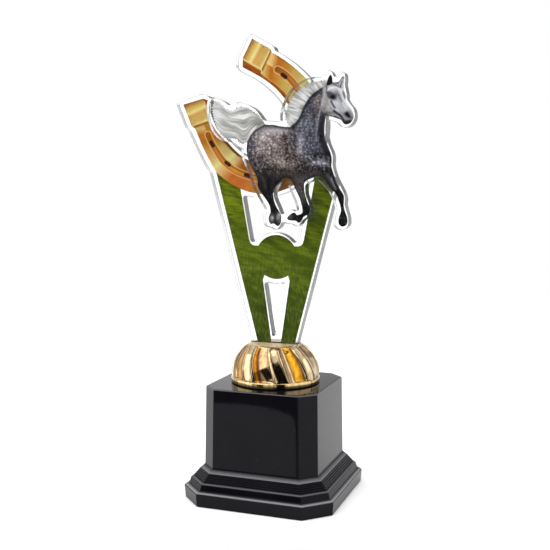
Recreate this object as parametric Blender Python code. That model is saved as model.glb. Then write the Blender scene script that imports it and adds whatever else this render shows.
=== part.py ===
"""Horse trophy: a moulded plinth, a fluted riser, a clear back plate and a clear horse plate."""

import math

import bmesh
import bpy
import numpy as np

# Gap left between pieces that touch
FIT_GAP = 0.0003

# Plinth: a square block with cut corners on a moulded foot
PLINTH_HEIGHT = 0.0500
BLOCK_TOP_WIDTH = 0.0514
BLOCK_FOOT_WIDTH = 0.0525
BLOCK_TOP_CORNER = 0.00645
BLOCK_FOOT_CORNER = 0.0066
BLOCK_EDGE = 0.0004
FOOT_HEIGHT = 0.0149
SLAB_WIDTH = 0.0688
SLAB_CORNER = 0.0104
SLAB_HEIGHT = 0.0058
SLAB_UNDERSIDE_WIDTH = 0.0680

# Moulding between the block and the slab, as (share of the way out, share of the way up)
MOULDING = [
    (0.03, 1.00),
    (0.19, 0.84),
    (0.19, 0.79),
    (0.22, 0.70),
    (0.36, 0.61),
    (0.39, 0.51),
    (0.52, 0.45),
    (0.61, 0.39),
    (0.67, 0.31),
    (0.70, 0.24),
    (0.79, 0.14),
    (0.95, 0.05),
]

# Riser: a dome of flat panels and hollow flutes on a plain ring
RISER_RADIUS = 0.0200
RISER_RING_HEIGHT = 0.0028
RISER_HEIGHT = 0.0177
RISER_TOP_RADIUS = 0.0117
RISER_SWELL = 2.3
RISER_EDGE = 0.0003
FLUTE_COUNT = 8
FLUTE_DEPTH = 0.0011
PANEL_SHARE = 0.35
RISER_TWIST = math.radians(-14)
RISER_PHASE = math.radians(-61)
SLOT_DEPTH = 0.0100

# Where a flute's hollow and the dome's rings are sampled, and the share in which the flutes run out
FLUTE_SHARES = [0.0, 0.12, 0.31, 0.5, 0.69, 0.88]
DOME_SHARES = [0.02, 0.12, 0.24, 0.36, 0.48, 0.60, 0.70, 0.79, 0.87, 0.93, 0.97]
FLUTE_FADE_SHARE = 0.25

# Back plate: two spreading strips with a disc between them and a horseshoe on top
PLATE_THICKNESS = 0.0050
PLATE_MARGIN = 0.0018
PLATE_INNER_RADIUS = 0.0006
WEB_HEIGHT = 0.0028
STRIP_FOOT_HALF = 0.0091
STRIP_LEAN = math.radians(14.67)
STRIP_LENGTH = 0.0750
GAP_FOOT_HALF = 0.0020
GAP_LEAN = math.radians(9.1)
DISC_RADIUS = 0.00965
DISC_HEIGHT = 0.03775
NOTCH_HEIGHT = 0.0430
NOTCH_HALF = 0.01245
NOTCH_LEAN = math.radians(10.4)
NOTCH_FILLET = 0.0026
RIGHT_STRIP_CUT = 0.0090

# Horseshoe: its width, and its outline drawn 67.8 units wide about its middle
SHOE_WIDTH = 0.0678
SHOE_DRAWN_WIDTH = 67.8
SHOE_HEIGHT_ABOVE_DISC = 0.05625
SHOE_OFFSIDE = -0.0063
SHOE_OUTLINE = [
    [(-38.9, 12.8), (-29.0, 15.2)],
    [(-29.0, 15.2), (-26.2, 14.3), (-24.7, 12.0), (-24.9, 8.0)],
    [
        (-24.9, 8.0), (-22.2, 1.5), (-18.0, -3.5), (-8.7, -11.7), (0.0, -14.8), (8.5, -12.2),
        (13.9, -4.0), (14.4, 5.0), (10.3, 13.6), (1.3, 22.0), (-8.7, 27.7),
    ],
    [(-8.7, 27.7), (-9.6, 28.5), (-9.6, 31.6)],
    [(-9.6, 31.6), (-5.0, 40.4)],
    [(-5.0, 40.4), (4.9, 34.7)],
    [(4.9, 34.7), (5.3, 32.9)],
    [
        (5.3, 32.9), (10.3, 30.0), (16.3, 25.5), (22.3, 19.5), (27.3, 11.5), (28.9, 0.0),
        (26.3, -11.5), (20.3, -20.2), (9.3, -26.3), (-3.7, -27.4), (-13.7, -24.2),
        (-22.7, -17.8), (-29.3, -6.5), (-33.6, 2.2),
    ],
    [(-33.6, 2.2), (-34.8, 3.0)],
    [(-34.8, 3.0), (-38.9, 12.8)],
]

# Horse: its length, and its outline drawn 64.7 units long about the middle of its body
HORSE_LENGTH = 0.0647
HORSE_DRAWN_LENGTH = 64.7
HORSE_HEIGHT_ABOVE_DISC = 0.04425
HORSE_MARGIN = 0.00145
HORSE_OUTLINE = [
    # back and mane
    [(-3.3, 14.3), (1.0, 14.0), (8.3, 12.9)],
    [(8.3, 12.9), (6.3, 17.5), (9.2, 25.5), (15.5, 30.8), (24.4, 32.2)],
    # ears
    [(24.4, 32.2), (25.6, 33.9), (26.4, 34.4), (27.1, 33.0), (27.3, 31.2)],
    [(27.3, 31.2), (30.0, 31.4), (31.2, 32.9), (32.1, 33.5)],
    [(32.1, 33.5), (32.3, 31.8), (32.1, 29.5)],
    # face, muzzle and jaw
    [
        (32.1, 29.5), (33.0, 25.3), (32.9, 23.5), (34.4, 21.0), (36.2, 18.6), (36.4, 15.7),
        (34.8, 13.6), (32.6, 13.5), (31.3, 15.0), (27.5, 16.6), (24.2, 16.9),
    ],
    # throat, chest and the straight foreleg
    [
        (24.2, 16.9), (23.8, 11.0), (25.0, 5.2), (27.0, 0.3), (27.1, -4.2), (28.7, -9.5),
        (31.6, -15.0), (32.6, -17.8), (32.5, -20.8), (34.0, -26.0), (33.9, -28.8),
        (32.2, -29.8), (30.4, -28.7), (30.5, -25.5), (31.2, -22.8), (30.3, -19.0),
        (28.4, -15.0), (25.0, -11.1), (21.5, -8.3), (17.0, -9.7), (14.8, -11.8),
    ],
    # bent foreleg
    [
        (14.8, -11.8), (15.2, -16.5), (16.7, -20.6), (17.2, -23.8), (14.6, -25.8),
        (12.4, -28.4), (10.8, -27.5), (7.6, -27.2), (7.3, -25.8), (9.7, -24.1),
    ],
    [(9.7, -24.1), (11.8, -25.0), (14.0, -23.8), (13.3, -19.7), (10.3, -12.8)],
    # belly and hind legs
    [
        (10.3, -12.8), (8.9, -9.7), (5.9, -8.9), (1.7, -12.4), (0.6, -17.0), (3.4, -23.7),
        (4.2, -27.5), (2.8, -29.9), (0.4, -28.9), (-1.2, -28.6), (-1.4, -25.4),
        (-0.9, -22.2), (-3.4, -17.6), (-6.7, -11.6), (-8.2, -6.6), (-11.4, 0.0), (-11.8, 6.8),
    ],
    # tail
    [
        (-11.8, 6.8), (-14.3, 6.0), (-17.2, 8.0), (-22.6, 9.2), (-26.4, 13.4), (-28.2, 20.0),
        (-27.5, 24.9), (-22.9, 23.7), (-19.0, 21.3), (-14.8, 22.5), (-8.2, 20.0), (-3.3, 14.3),
    ],
]

# Fineness of the curves, of the arcs and of the grid that the plates' edges are traced on
CURVE_STEP = 0.0008
FILLET_POINTS = 6
DISC_POINTS = 36
TRACE_STEP = 0.0005
TRACE_TOLERANCE = 0.00004

# Sharpest angle between two faces that is still shaded smooth
SMOOTH_ANGLE = math.radians(28)

BLACK = ((0.012, 0.012, 0.014), 0.12, 0.0, 0.0)
GOLD = ((0.86, 0.62, 0.24), 0.16, 1.0, 0.0)
CLEAR = ((0.97, 0.98, 0.98), 0.03, 0.0, 1.0)


def clear_scene():
    """Removes every object of the scene."""
    for obj in list(bpy.data.objects):
        bpy.data.objects.remove(obj, do_unlink=True)


def make_collection(name):
    collection = bpy.data.collections.new(name)
    bpy.context.scene.collection.children.link(collection)
    return collection


def make_material(name, colour, roughness, metallic, transmission):
    material = bpy.data.materials.new(name)
    material.use_nodes = True
    shader = material.node_tree.nodes["Principled BSDF"]
    shader.inputs["Base Color"].default_value = (*colour, 1.0)
    shader.inputs["Roughness"].default_value = roughness
    shader.inputs["Metallic"].default_value = metallic
    shader.inputs["Transmission Weight"].default_value = transmission
    shader.inputs["IOR"].default_value = 1.49
    return material


def smooth_stretch(points, step):
    """A Catmull-Rom curve through the points, both ends included, sampled about every step."""
    points = np.array(points, float)
    if len(points) == 2:
        return points
    padded = np.vstack([2 * points[0] - points[1], points, 2 * points[-1] - points[-2]])
    samples = []
    for before, start, end, after in zip(padded, padded[1:], padded[2:], padded[3:]):
        count = max(2, round(float(np.linalg.norm(end - start)) / step))
        for t in np.arange(count) / count:
            samples.append(
                0.5 * (2 * start + (end - before) * t
                       + (2 * before - 5 * start + 4 * end - after) * t ** 2
                       + (3 * start - before - 3 * end + after) * t ** 3)
            )
    return np.vstack([samples, points[-1:]])


def closed_outline(stretches, scale, centre):
    """One closed loop from stretches that follow each other, scaled and moved to its centre."""
    loop = [smooth_stretch(s, CURVE_STEP / scale)[:-1] for s in stretches]
    return np.vstack(loop) * scale + centre


def arc(centre, radius, start, end, count):
    angles = np.radians(np.linspace(start, end, count))
    return np.array(centre) + radius * np.column_stack([np.cos(angles), np.sin(angles)])


def strip_outline(side, foot_z):
    """One of the two strips: it narrows above the notch, and the right one ends in a slanting cut."""
    cut = RIGHT_STRIP_CUT / 2 if side > 0 else 0.0
    outer_height = STRIP_LENGTH - cut
    inner_height = STRIP_LENGTH + cut
    outer_half = STRIP_FOOT_HALF + outer_height * math.tan(STRIP_LEAN)
    inner_half = NOTCH_HALF + (inner_height - NOTCH_HEIGHT) * math.tan(NOTCH_LEAN)
    fillet_inset = NOTCH_FILLET * (1 - math.sin(NOTCH_LEAN)) / math.cos(NOTCH_LEAN)
    fillet_centre = (NOTCH_HALF - fillet_inset, NOTCH_HEIGHT + NOTCH_FILLET)
    fillet = arc(fillet_centre, NOTCH_FILLET, -math.degrees(NOTCH_LEAN), -90, FILLET_POINTS)
    gap_half = GAP_FOOT_HALF + NOTCH_HEIGHT * math.tan(GAP_LEAN)
    points = [
        (STRIP_FOOT_HALF, 0.0),
        (outer_half, outer_height),
        (inner_half, inner_height),
        *fillet,
        (gap_half, NOTCH_HEIGHT),
        (GAP_FOOT_HALF, 0.0),
    ]
    return np.array(points) * (side, 1.0) + (0.0, foot_z)


def rectangle(half_width, low, high):
    return np.array([(-half_width, low), (half_width, low), (half_width, high), (-half_width, high)])


def signed_distance(x, z, loop):
    """Distance of each grid point from a closed loop, negative inside it."""
    nearest = np.full(x.shape, np.inf)
    inside = np.zeros(x.shape, bool)
    for (ax, az), (bx, bz) in zip(loop, np.roll(loop, -1, axis=0)):
        dx, dz = bx - ax, bz - az
        along = ((x - ax) * dx + (z - az) * dz) / max(dx * dx + dz * dz, 1e-18)
        along = np.clip(along, 0.0, 1.0)
        nearest = np.minimum(nearest, (x - ax - along * dx) ** 2 + (z - az - along * dz) ** 2)
        if az != bz:
            inside ^= ((az > z) != (bz > z)) & (x < ax + (z - az) * dx / dz)
    return np.where(inside, -1, 1) * np.sqrt(nearest)


def trace_grid(loops, reach):
    """The grid that holds all loops and a border of reach round them."""
    points = np.vstack(loops)
    low = points.min(axis=0) - reach - 2 * TRACE_STEP
    high = points.max(axis=0) + reach + 2 * TRACE_STEP
    xs = np.arange(low[0], high[0], TRACE_STEP)
    zs = np.arange(low[1], high[1], TRACE_STEP)
    return xs, zs, *np.meshgrid(xs, zs, indexing="ij")


def cell_links(low_left, low_right, top_right, top_left):
    """Pairs of cell sides (bottom, right, top, left) that the edge enters and leaves by."""
    signs = [v < 0 for v in (low_left, low_right, top_right, top_left)]
    crossed = [s for s in range(4) if signs[s] != signs[(s + 1) % 4]]
    if len(crossed) < 4:
        return [crossed] if crossed else []
    middle_inside = low_left + low_right + top_right + top_left < 0
    return [[0, 1], [2, 3]] if middle_inside == signs[0] else [[3, 0], [1, 2]]


def trace(field, xs, zs):
    """The closed loops along which the field is zero, by marching over the grid's squares."""
    links = {}
    inside = field < 0
    corners = inside[:-1, :-1].astype(int) + inside[1:, :-1] + inside[1:, 1:] + inside[:-1, 1:]
    for i, j in np.argwhere((corners > 0) & (corners < 4)):
        sides = [(i, j, 0), (i + 1, j, 1), (i, j + 1, 0), (i, j, 1)]
        values = (field[i, j], field[i + 1, j], field[i + 1, j + 1], field[i, j + 1])
        for first, second in cell_links(*values):
            links.setdefault(sides[first], []).append(sides[second])
            links.setdefault(sides[second], []).append(sides[first])

    def crossing(side):
        i, j, upright = side
        k, m = (i, j + 1) if upright else (i + 1, j)
        share = field[i, j] / (field[i, j] - field[k, m])
        return (xs[i] + share * (xs[k] - xs[i]), zs[j] + share * (zs[m] - zs[j]))

    loops = []
    while links:
        side = next(iter(links))
        loop = []
        while side in links:
            loop.append(crossing(side))
            ahead = links.pop(side)
            side = next((s for s in ahead if s in links), None)
        loops.append(np.array(loop))
    return loops


def straighten(points, tolerance):
    """Keeps only the points that the line needs to stay within the tolerance."""
    span = points[-1] - points[0]
    length = np.linalg.norm(span)
    offset = points - points[0]
    if length < tolerance:
        away = np.linalg.norm(offset, axis=1)
    else:
        away = np.abs(offset[:, 0] * span[1] - offset[:, 1] * span[0]) / length
    worst = int(np.argmax(away))
    if away[worst] <= tolerance:
        return points[[0, -1]]
    head = straighten(points[:worst + 1], tolerance)
    return np.vstack([head[:-1], straighten(points[worst:], tolerance)])


def grown_outline(loops, margin, inner_radius):
    """The edge a margin away from the union of the loops, with its inner corners rounded."""
    reach = margin + inner_radius
    xs, zs, x, z = trace_grid(loops, reach)
    union = np.minimum.reduce([signed_distance(x, z, loop) for loop in loops])
    grown = trace(union - reach, xs, zs)
    depth = np.full(x.shape, np.inf)
    for loop in grown:
        depth = np.minimum(depth, np.abs(signed_distance(x, z, loop)))
    back = np.where(union < reach, -depth, depth) + inner_radius
    return trace(back, xs, zs)


def plate_curve(name, loops, middle_y, thickness, material, collection):
    """A flat plate standing in the XZ plane, with its edge loops filled."""
    curve = bpy.data.curves.new(name, "CURVE")
    curve.dimensions = "2D"
    curve.fill_mode = "BOTH"
    curve.extrude = thickness / 2
    for loop in loops:
        closed = np.vstack([loop, loop[:1]])
        half = len(closed) // 2
        first = straighten(closed[:half + 1], TRACE_TOLERANCE)
        second = straighten(closed[half:], TRACE_TOLERANCE)
        kept = np.vstack([first[:-1], second[:-1]])
        spline = curve.splines.new("POLY")
        spline.points.add(len(kept) - 1)
        for point, (x, z) in zip(spline.points, kept):
            point.co = (x, z, 0.0, 1.0)
        spline.use_cyclic_u = True
    curve.materials.append(material)
    obj = bpy.data.objects.new(name, curve)
    obj.rotation_euler = (math.radians(90), 0.0, 0.0)
    obj.location = (0.0, middle_y, 0.0)
    collection.objects.link(obj)
    return obj


def loft(name, rings, material, collection):
    """A closed solid through rings of points that have the same count, with flat ends."""
    mesh = bpy.data.meshes.new(name)
    shape = bmesh.new()
    rows = [[shape.verts.new(point) for point in ring] for ring in rings]
    for low, high in zip(rows, rows[1:]):
        for i, vert in enumerate(low):
            j = (i + 1) % len(low)
            shape.faces.new((vert, low[j], high[j], high[i]))
    shape.faces.new(list(reversed(rows[0])))
    shape.faces.new(rows[-1])
    shape.to_mesh(mesh)
    shape.free()
    mesh.shade_smooth()
    mesh.set_sharp_from_angle(angle=SMOOTH_ANGLE)
    mesh.materials.append(material)
    obj = bpy.data.objects.new(name, mesh)
    collection.objects.link(obj)
    return obj


def cut_square(width, corner, z):
    """A square ring with its four corners cut off."""
    half = width / 2
    inner = half - corner
    quarter = [(half, -inner), (half, inner)]
    ring = []
    for turn in range(4):
        c, s = round(math.cos(turn * math.pi / 2)), round(math.sin(turn * math.pi / 2))
        ring += [(c * x - s * y, s * x + c * y, z) for x, y in quarter]
    return ring


def moulding_rings():
    """Rings of the moulding, from the slab's top edge up to the block's foot."""
    rings = []
    for out, up in reversed(MOULDING):
        width = BLOCK_FOOT_WIDTH + (SLAB_WIDTH - BLOCK_FOOT_WIDTH) * out
        corner = BLOCK_FOOT_CORNER + (SLAB_CORNER - BLOCK_FOOT_CORNER) * out
        rings.append(cut_square(width, corner, SLAB_HEIGHT + (FOOT_HEIGHT - SLAB_HEIGHT) * up))
    return rings


def make_plinth(material, collection):
    """Slab, moulding and block, made as one piece."""
    rings = [
        cut_square(SLAB_UNDERSIDE_WIDTH, SLAB_CORNER, 0.0),
        cut_square(SLAB_WIDTH, SLAB_CORNER, SLAB_HEIGHT - BLOCK_EDGE),
    ]
    rings += moulding_rings()
    rings += [
        cut_square(BLOCK_FOOT_WIDTH, BLOCK_FOOT_CORNER, FOOT_HEIGHT + BLOCK_EDGE),
        cut_square(BLOCK_TOP_WIDTH, BLOCK_TOP_CORNER, PLINTH_HEIGHT - BLOCK_EDGE),
        cut_square(BLOCK_TOP_WIDTH - 2 * BLOCK_EDGE, BLOCK_TOP_CORNER, PLINTH_HEIGHT),
    ]
    return loft("plinth", rings, material, collection)


def dome_radius(up):
    """The dome's radius without flutes, at a share of the way from its foot to its top."""
    top_share = (1 - (RISER_TOP_RADIUS / RISER_RADIUS) ** 2) ** (1 / RISER_SWELL)
    return RISER_RADIUS * math.sqrt(1 - (up * top_share) ** RISER_SWELL)


def fluted_ring(radius, z, depth, turn):
    """A ring of flat panels with hollow flutes between them."""
    cell = 2 * math.pi / FLUTE_COUNT
    panel = cell * PANEL_SHARE
    flute = cell - panel
    ring = []
    for k in range(FLUTE_COUNT):
        start = RISER_PHASE + turn + k * cell - panel / 2
        spots = [(start, radius)]
        for share in FLUTE_SHARES:
            hollow = depth * math.sin(math.pi * share)
            spots.append((start + panel + share * flute, radius - hollow))
        ring += [(r * math.cos(a), r * math.sin(a), z) for a, r in spots]
    return ring


def riser_rings():
    foot = PLINTH_HEIGHT + FIT_GAP
    ring_top = PLINTH_HEIGHT + RISER_RING_HEIGHT
    dome_height = RISER_HEIGHT - RISER_RING_HEIGHT
    rings = [
        fluted_ring(RISER_RADIUS - RISER_EDGE, foot, 0.0, 0.0),
        fluted_ring(RISER_RADIUS, foot + RISER_EDGE, 0.0, 0.0),
        fluted_ring(RISER_RADIUS, ring_top - RISER_EDGE, 0.0, 0.0),
        fluted_ring(RISER_RADIUS - RISER_EDGE, ring_top, 0.0, 0.0),
    ]
    for up in DOME_SHARES:
        fade = min(1.0, (1.0 - up) / FLUTE_FADE_SHARE)
        radius = dome_radius(up) - RISER_EDGE
        depth = FLUTE_DEPTH * fade * radius / RISER_RADIUS
        rings.append(fluted_ring(radius, ring_top + up * dome_height, depth, RISER_TWIST * up))
    rings.append(fluted_ring(RISER_TOP_RADIUS, PLINTH_HEIGHT + RISER_HEIGHT, 0.0, RISER_TWIST))
    return rings


def tongue_half():
    """Half the width of the back plate where it goes down into the riser."""
    return STRIP_FOOT_HALF + PLATE_MARGIN


def make_slot_cutter(collection):
    """The slot in the riser's top that takes the back plate's tongue."""
    bpy.ops.mesh.primitive_cube_add(size=1.0)
    cutter = bpy.context.object
    cutter.name = "slot_cutter"
    top = PLINTH_HEIGHT + RISER_HEIGHT
    over = RISER_HEIGHT
    cutter.scale = (
        2 * (tongue_half() + FIT_GAP),
        PLATE_THICKNESS + 2 * FIT_GAP,
        SLOT_DEPTH + FIT_GAP + over,
    )
    cutter.location = (0.0, 0.0, top - SLOT_DEPTH - FIT_GAP + cutter.scale[2] / 2)
    for owner in list(cutter.users_collection):
        owner.objects.unlink(cutter)
    collection.objects.link(cutter)
    cutter.hide_render = True
    cutter.display_type = "WIRE"
    return cutter


def make_riser(material, collection, cutters):
    """The fluted dome, with the slot cut in its flat top."""
    riser = loft("riser", riser_rings(), material, collection)
    cut = riser.modifiers.new("slot", "BOOLEAN")
    cut.operation = "DIFFERENCE"
    cut.solver = "EXACT"
    cut.object = make_slot_cutter(cutters)
    return riser


def make_back_plate(material, collection):
    """The plate that stands in the riser, its edge a margin away from its picture."""
    riser_top = PLINTH_HEIGHT + RISER_HEIGHT
    foot_z = riser_top + FIT_GAP
    disc_z = foot_z + DISC_HEIGHT
    shoe_centre = (SHOE_OFFSIDE, disc_z + SHOE_HEIGHT_ABOVE_DISC)
    tongue_low = riser_top - SLOT_DEPTH + PLATE_MARGIN
    tongue_high = riser_top + WEB_HEIGHT - PLATE_MARGIN
    shapes = [
        strip_outline(-1, foot_z),
        strip_outline(1, foot_z),
        arc((0.0, disc_z), DISC_RADIUS, 0, 360, DISC_POINTS + 1)[:-1],
        closed_outline(SHOE_OUTLINE, SHOE_WIDTH / SHOE_DRAWN_WIDTH, shoe_centre),
        rectangle(STRIP_FOOT_HALF, tongue_low, tongue_high),
    ]
    loops = grown_outline(shapes, PLATE_MARGIN, PLATE_INNER_RADIUS)
    return plate_curve("back_plate", loops, 0.0, PLATE_THICKNESS, material, collection)


def make_horse_plate(material, collection):
    """The plate fixed to the front of the back plate, cut round the horse."""
    disc_z = PLINTH_HEIGHT + RISER_HEIGHT + FIT_GAP + DISC_HEIGHT
    centre = (0.0, disc_z + HORSE_HEIGHT_ABOVE_DISC)
    outline = closed_outline(HORSE_OUTLINE, HORSE_LENGTH / HORSE_DRAWN_LENGTH, centre)
    loops = grown_outline([outline], HORSE_MARGIN, PLATE_INNER_RADIUS)
    middle_y = -PLATE_THICKNESS - FIT_GAP
    return plate_curve("horse_plate", loops, middle_y, PLATE_THICKNESS, material, collection)


def main():
    clear_scene()
    parts = make_collection("horse_trophy")
    cutters = make_collection("cutters")
    clear = make_material("clear_acrylic", *CLEAR)
    make_plinth(make_material("black_plastic", *BLACK), parts)
    make_riser(make_material("gold_plastic", *GOLD), parts, cutters)
    make_back_plate(clear, parts)
    make_horse_plate(clear, parts)


main()
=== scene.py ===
"""Looks of the horse trophy: finishes, printed pictures, light and camera round the fixed frame."""
import math

import bmesh
import bpy
import numpy as np
from mathutils import Matrix, Vector
from mathutils.geometry import delaunay_2d_cdt


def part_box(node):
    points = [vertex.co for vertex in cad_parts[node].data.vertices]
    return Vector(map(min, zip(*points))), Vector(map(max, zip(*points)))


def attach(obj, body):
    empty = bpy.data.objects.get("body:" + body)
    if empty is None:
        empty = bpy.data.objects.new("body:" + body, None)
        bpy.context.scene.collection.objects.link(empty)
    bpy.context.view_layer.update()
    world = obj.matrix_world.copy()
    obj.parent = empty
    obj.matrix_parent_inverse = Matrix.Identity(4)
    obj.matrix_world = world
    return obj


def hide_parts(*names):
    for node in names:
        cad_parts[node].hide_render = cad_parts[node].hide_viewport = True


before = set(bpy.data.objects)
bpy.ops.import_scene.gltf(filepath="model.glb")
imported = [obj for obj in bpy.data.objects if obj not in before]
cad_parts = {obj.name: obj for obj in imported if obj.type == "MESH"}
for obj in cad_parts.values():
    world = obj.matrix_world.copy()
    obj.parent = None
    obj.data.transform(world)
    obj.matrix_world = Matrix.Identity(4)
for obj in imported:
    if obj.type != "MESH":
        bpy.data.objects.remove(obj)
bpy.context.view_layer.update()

# Outlines and pictures are drawn in millimetres, and the scene is in metres
MM = 0.001

# Camera, from the photograph: its place, the way it looks back along, and its lens on a 36 mm sensor
CAMERA_PLACE = (0.13122, -0.36206, 0.13374)
CAMERA_BACK = (0.33995, -0.93589, 0.09237)
CAMERA_LENS = 56.60

# Floor: its reach round the trophy, and its front edge, whose mirror image shows in the plinth
FLOOR_REACH = 0.6
FLOOR_DROP = 0.00005
FLOOR_EDGE = [
    (-0.600, -0.215), (-0.104, -0.2155), (-0.084, -0.218), (-0.068, -0.2165), (-0.053, -0.208),
    (-0.042, -0.1987), (-0.0356, -0.1854), (-0.0279, -0.165), (-0.0175, -0.1345), (-0.0056, -0.0995),
    (0.0027, -0.0748), (0.012, -0.060), (0.035, -0.055), (0.300, -0.150), (0.600, -0.260),
]

# Light of the room by direction, as degrees round from the front and degrees up
BACK_LIGHT = 1.25
LEFT_LIGHT = 2.8
RIGHT_LIGHT = 2.1
MIDDLE_LIGHT = 0.45
FRONT_LIGHT = 0.008
FORE_LIGHT = 0.8
LOW_FRONT_LIGHT = 0.03
LOW_BACK_LIGHT = 0.66
LOW_BACK_LEFT_LIGHT = 1.1

# Sectors of the room, as degrees from, to and softness, counted from the front towards the right
CORE_SECTOR = (22.0, 44.0, 2.0)
FORE_SECTOR = (-45.0, 22.0, 3.0)
FRONT_SECTOR = (-28.5, -12.5, 1.0)
LEFT_SECTOR = (-96.0, 12.0, 2.0)
RIGHT_SECTOR = (50.0, 122.0, 2.0)
NOT_BEHIND_SECTOR = (-100.0, 124.0, 4.0)
BACK_LEFT_SECTOR = (-161.0, -90.0, 3.0)

# Heights in the room, as degrees up and softness, and the band of light behind
LOW_EDGE = (20.0, 2.5)
MIDDLE_EDGE = (50.0, 2.0)
TOP_EDGE = (67.0, 2.0)
BACK_BAND = (10.5, 24.0, 2.0)

# The prints lie under thick clear sheets: they get this much more light, which brings out their own colours
PRINT_LIGHT_GAIN = 1.6

# Inks: their colours are divided by the gain, up to the brightest value, and they have a faint gloss
PRINT_GAIN = 0.90
BRIGHTEST_INK = 0.97
INK_SPECULAR = 0.04

# Plinth in mm, to the sizes of its node
BLOCK_TOP_HALF = 25.7
BLOCK_FOOT_HALF = 26.22
BLOCK_TOP_CUT = 6.45
BLOCK_FOOT_CUT = 6.6
SLAB_HALF = 34.38
SLAB_CUT = 10.4
PLINTH_TOP = 50.0
BLOCK_FOOT = 15.0
UPRIGHT_ROUNDING = 0.9
SLAB_ROUNDING = 0.5
REED_COUNT = 4
REED_BULGE = 0.22

# Lighter lines where edges of the plinth catch the light: height, width and strength of each
EDGE_SHEEN = (0.25, 0.25, 0.27)
EDGE_LINES = [(49.75, 0.12, 0.5), (13.25, 0.12, 0.6), (9.45, 0.18, 0.6), (6.05, 0.2, 0.9)]

# Gloss of the plinth, and of the stepped moulding between slab and block, which mirrors less
PLINTH_GLOSS = 0.5
MOULDING_GLOSS = 0.25
MOULDING_LOW = 5.9
MOULDING_HIGH = 15.1

# Edges that turn by more degrees than this stay sharp
PLINTH_CREASE = 24
RISER_CREASE = 40
PLATE_CREASE = 16
OUTLINE_CREASE = 50

# Riser in mm
RISER_RADIUS = 20.0
RING_LOW = 50.3
RING_TOP = 52.8
RISER_TOP = 67.7
RISER_TOP_RADIUS = 11.7
RISER_SWELL = 2.3
FLUTE_COUNT = 8
FLUTE_DEPTH = 1.15
PANEL_SHARE = 0.35
RISER_TWIST = -14.0
RISER_PHASE = -61.0
RIDGE_HEIGHT = 0.16

PANEL_POINTS = 13
FLUTE_POINTS = 25

# The rounding from the dome to its flat top, as inset and drop of each ring, and how many of them are satin
RISER_TOP_STEPS = [(0.12, 0.32), (0.45, 0.12), (1.0, 0.02), (1.6, 0.0)]
SATIN_RINGS = 3

# How strongly the gold reflects red, green and blue: plain, and by the share of a panel and its flute, where
# the bands are painted reflections and painted shade: pale streaks, dark edges, amber and brown in the
# hollows
GILT_PLAIN = (0.46, 0.33, 0.16)
PANEL_PAINTED_REFLECTIONS = [
    (0.00, (0.50, 0.38, 0.20)), (0.03, (0.14, 0.08, 0.03)), (0.06, (0.44, 0.33, 0.19)),
    (0.20, (0.56, 0.45, 0.29)), (0.27, (0.46, 0.35, 0.20)), (0.30, (0.07, 0.035, 0.010)),
    (0.33, (0.09, 0.050, 0.015)), (0.35, (0.55, 0.43, 0.25)),
]
NARROW_FLUTE_PAINTED_REFLECTIONS = [
    (0.37, (0.50, 0.38, 0.20)), (0.40, (0.05, 0.020, 0.004)), (0.45, (0.40, 0.14, 0.008)),
    (0.50, (0.12, 0.035, 0.004)), (0.56, (0.06, 0.030, 0.015)), (0.62, (0.34, 0.22, 0.11)),
    (0.80, (0.42, 0.30, 0.16)), (0.90, (0.26, 0.17, 0.08)), (0.94, (0.10, 0.06, 0.02)),
    (0.965, (0.56, 0.44, 0.26)), (1.00, (0.50, 0.38, 0.20)),
]
WIDE_FLUTE_PAINTED_REFLECTIONS = [
    (0.37, (0.06, 0.035, 0.020)), (0.43, (0.20, 0.13, 0.075)), (0.48, (0.14, 0.085, 0.045)),
    (0.52, (0.56, 0.44, 0.26)), (0.56, (0.12, 0.050, 0.010)), (0.64, (0.46, 0.22, 0.018)),
    (0.74, (0.58, 0.30, 0.022)), (0.84, (0.34, 0.14, 0.010)), (0.90, (0.10, 0.04, 0.006)),
    (0.94, (0.04, 0.02, 0.008)), (0.965, (0.56, 0.44, 0.26)), (1.00, (0.50, 0.38, 0.20)),
]

# The slot in the riser's top, in mm
SLOT_HALF_LENGTH = 11.2
SLOT_HALF_WIDTH = 2.66
SLOT_FLOOR = 57.4
SLOT_CLEARANCE = 5.0

# Plates and prints in mm
PLATE_BEVEL = 0.08
PRINT_THICKNESS = 0.05
BACK_PRINT_Y = 2.53
HORSE_PRINT_Y = -2.76
PICTURE_STEP = 0.26
OUTLINE_STEP = 0.3


# Small helpers

def linear(colour):
    """A colour given as 0 to 255 on screen, as the light it stands for."""
    share = np.asarray(colour, float) / 255.0
    return np.where(share <= 0.04045, share / 12.92, ((share + 0.055) / 1.055) ** 2.4)


def ease(value, low, high):
    """Rises smoothly from 0 at low to 1 at high."""
    t = np.clip((value - low) / (high - low), 0.0, 1.0)
    return t * t * (3 - 2 * t)


def smooth_line(points, step, closed=False):
    """A Catmull-Rom curve through the points, sampled about every step."""
    points = np.array(points, float)
    if closed:
        padded = np.vstack([points[-1:], points, points[:2]])
    else:
        padded = np.vstack([2 * points[0] - points[1], points, 2 * points[-1] - points[-2]])
    samples = []
    for before, start, end, after in zip(padded, padded[1:], padded[2:], padded[3:]):
        count = max(1, round(float(np.linalg.norm(end - start)) / step))
        t = (np.arange(count) / count)[:, None]
        samples.append(
            0.5 * (2 * start + (end - before) * t
                   + (2 * before - 5 * start + 4 * end - after) * t ** 2
                   + (3 * start - before - 3 * end + after) * t ** 3)
        )
    if not closed:
        samples.append(points[-1:])
    return np.vstack(samples)


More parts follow.
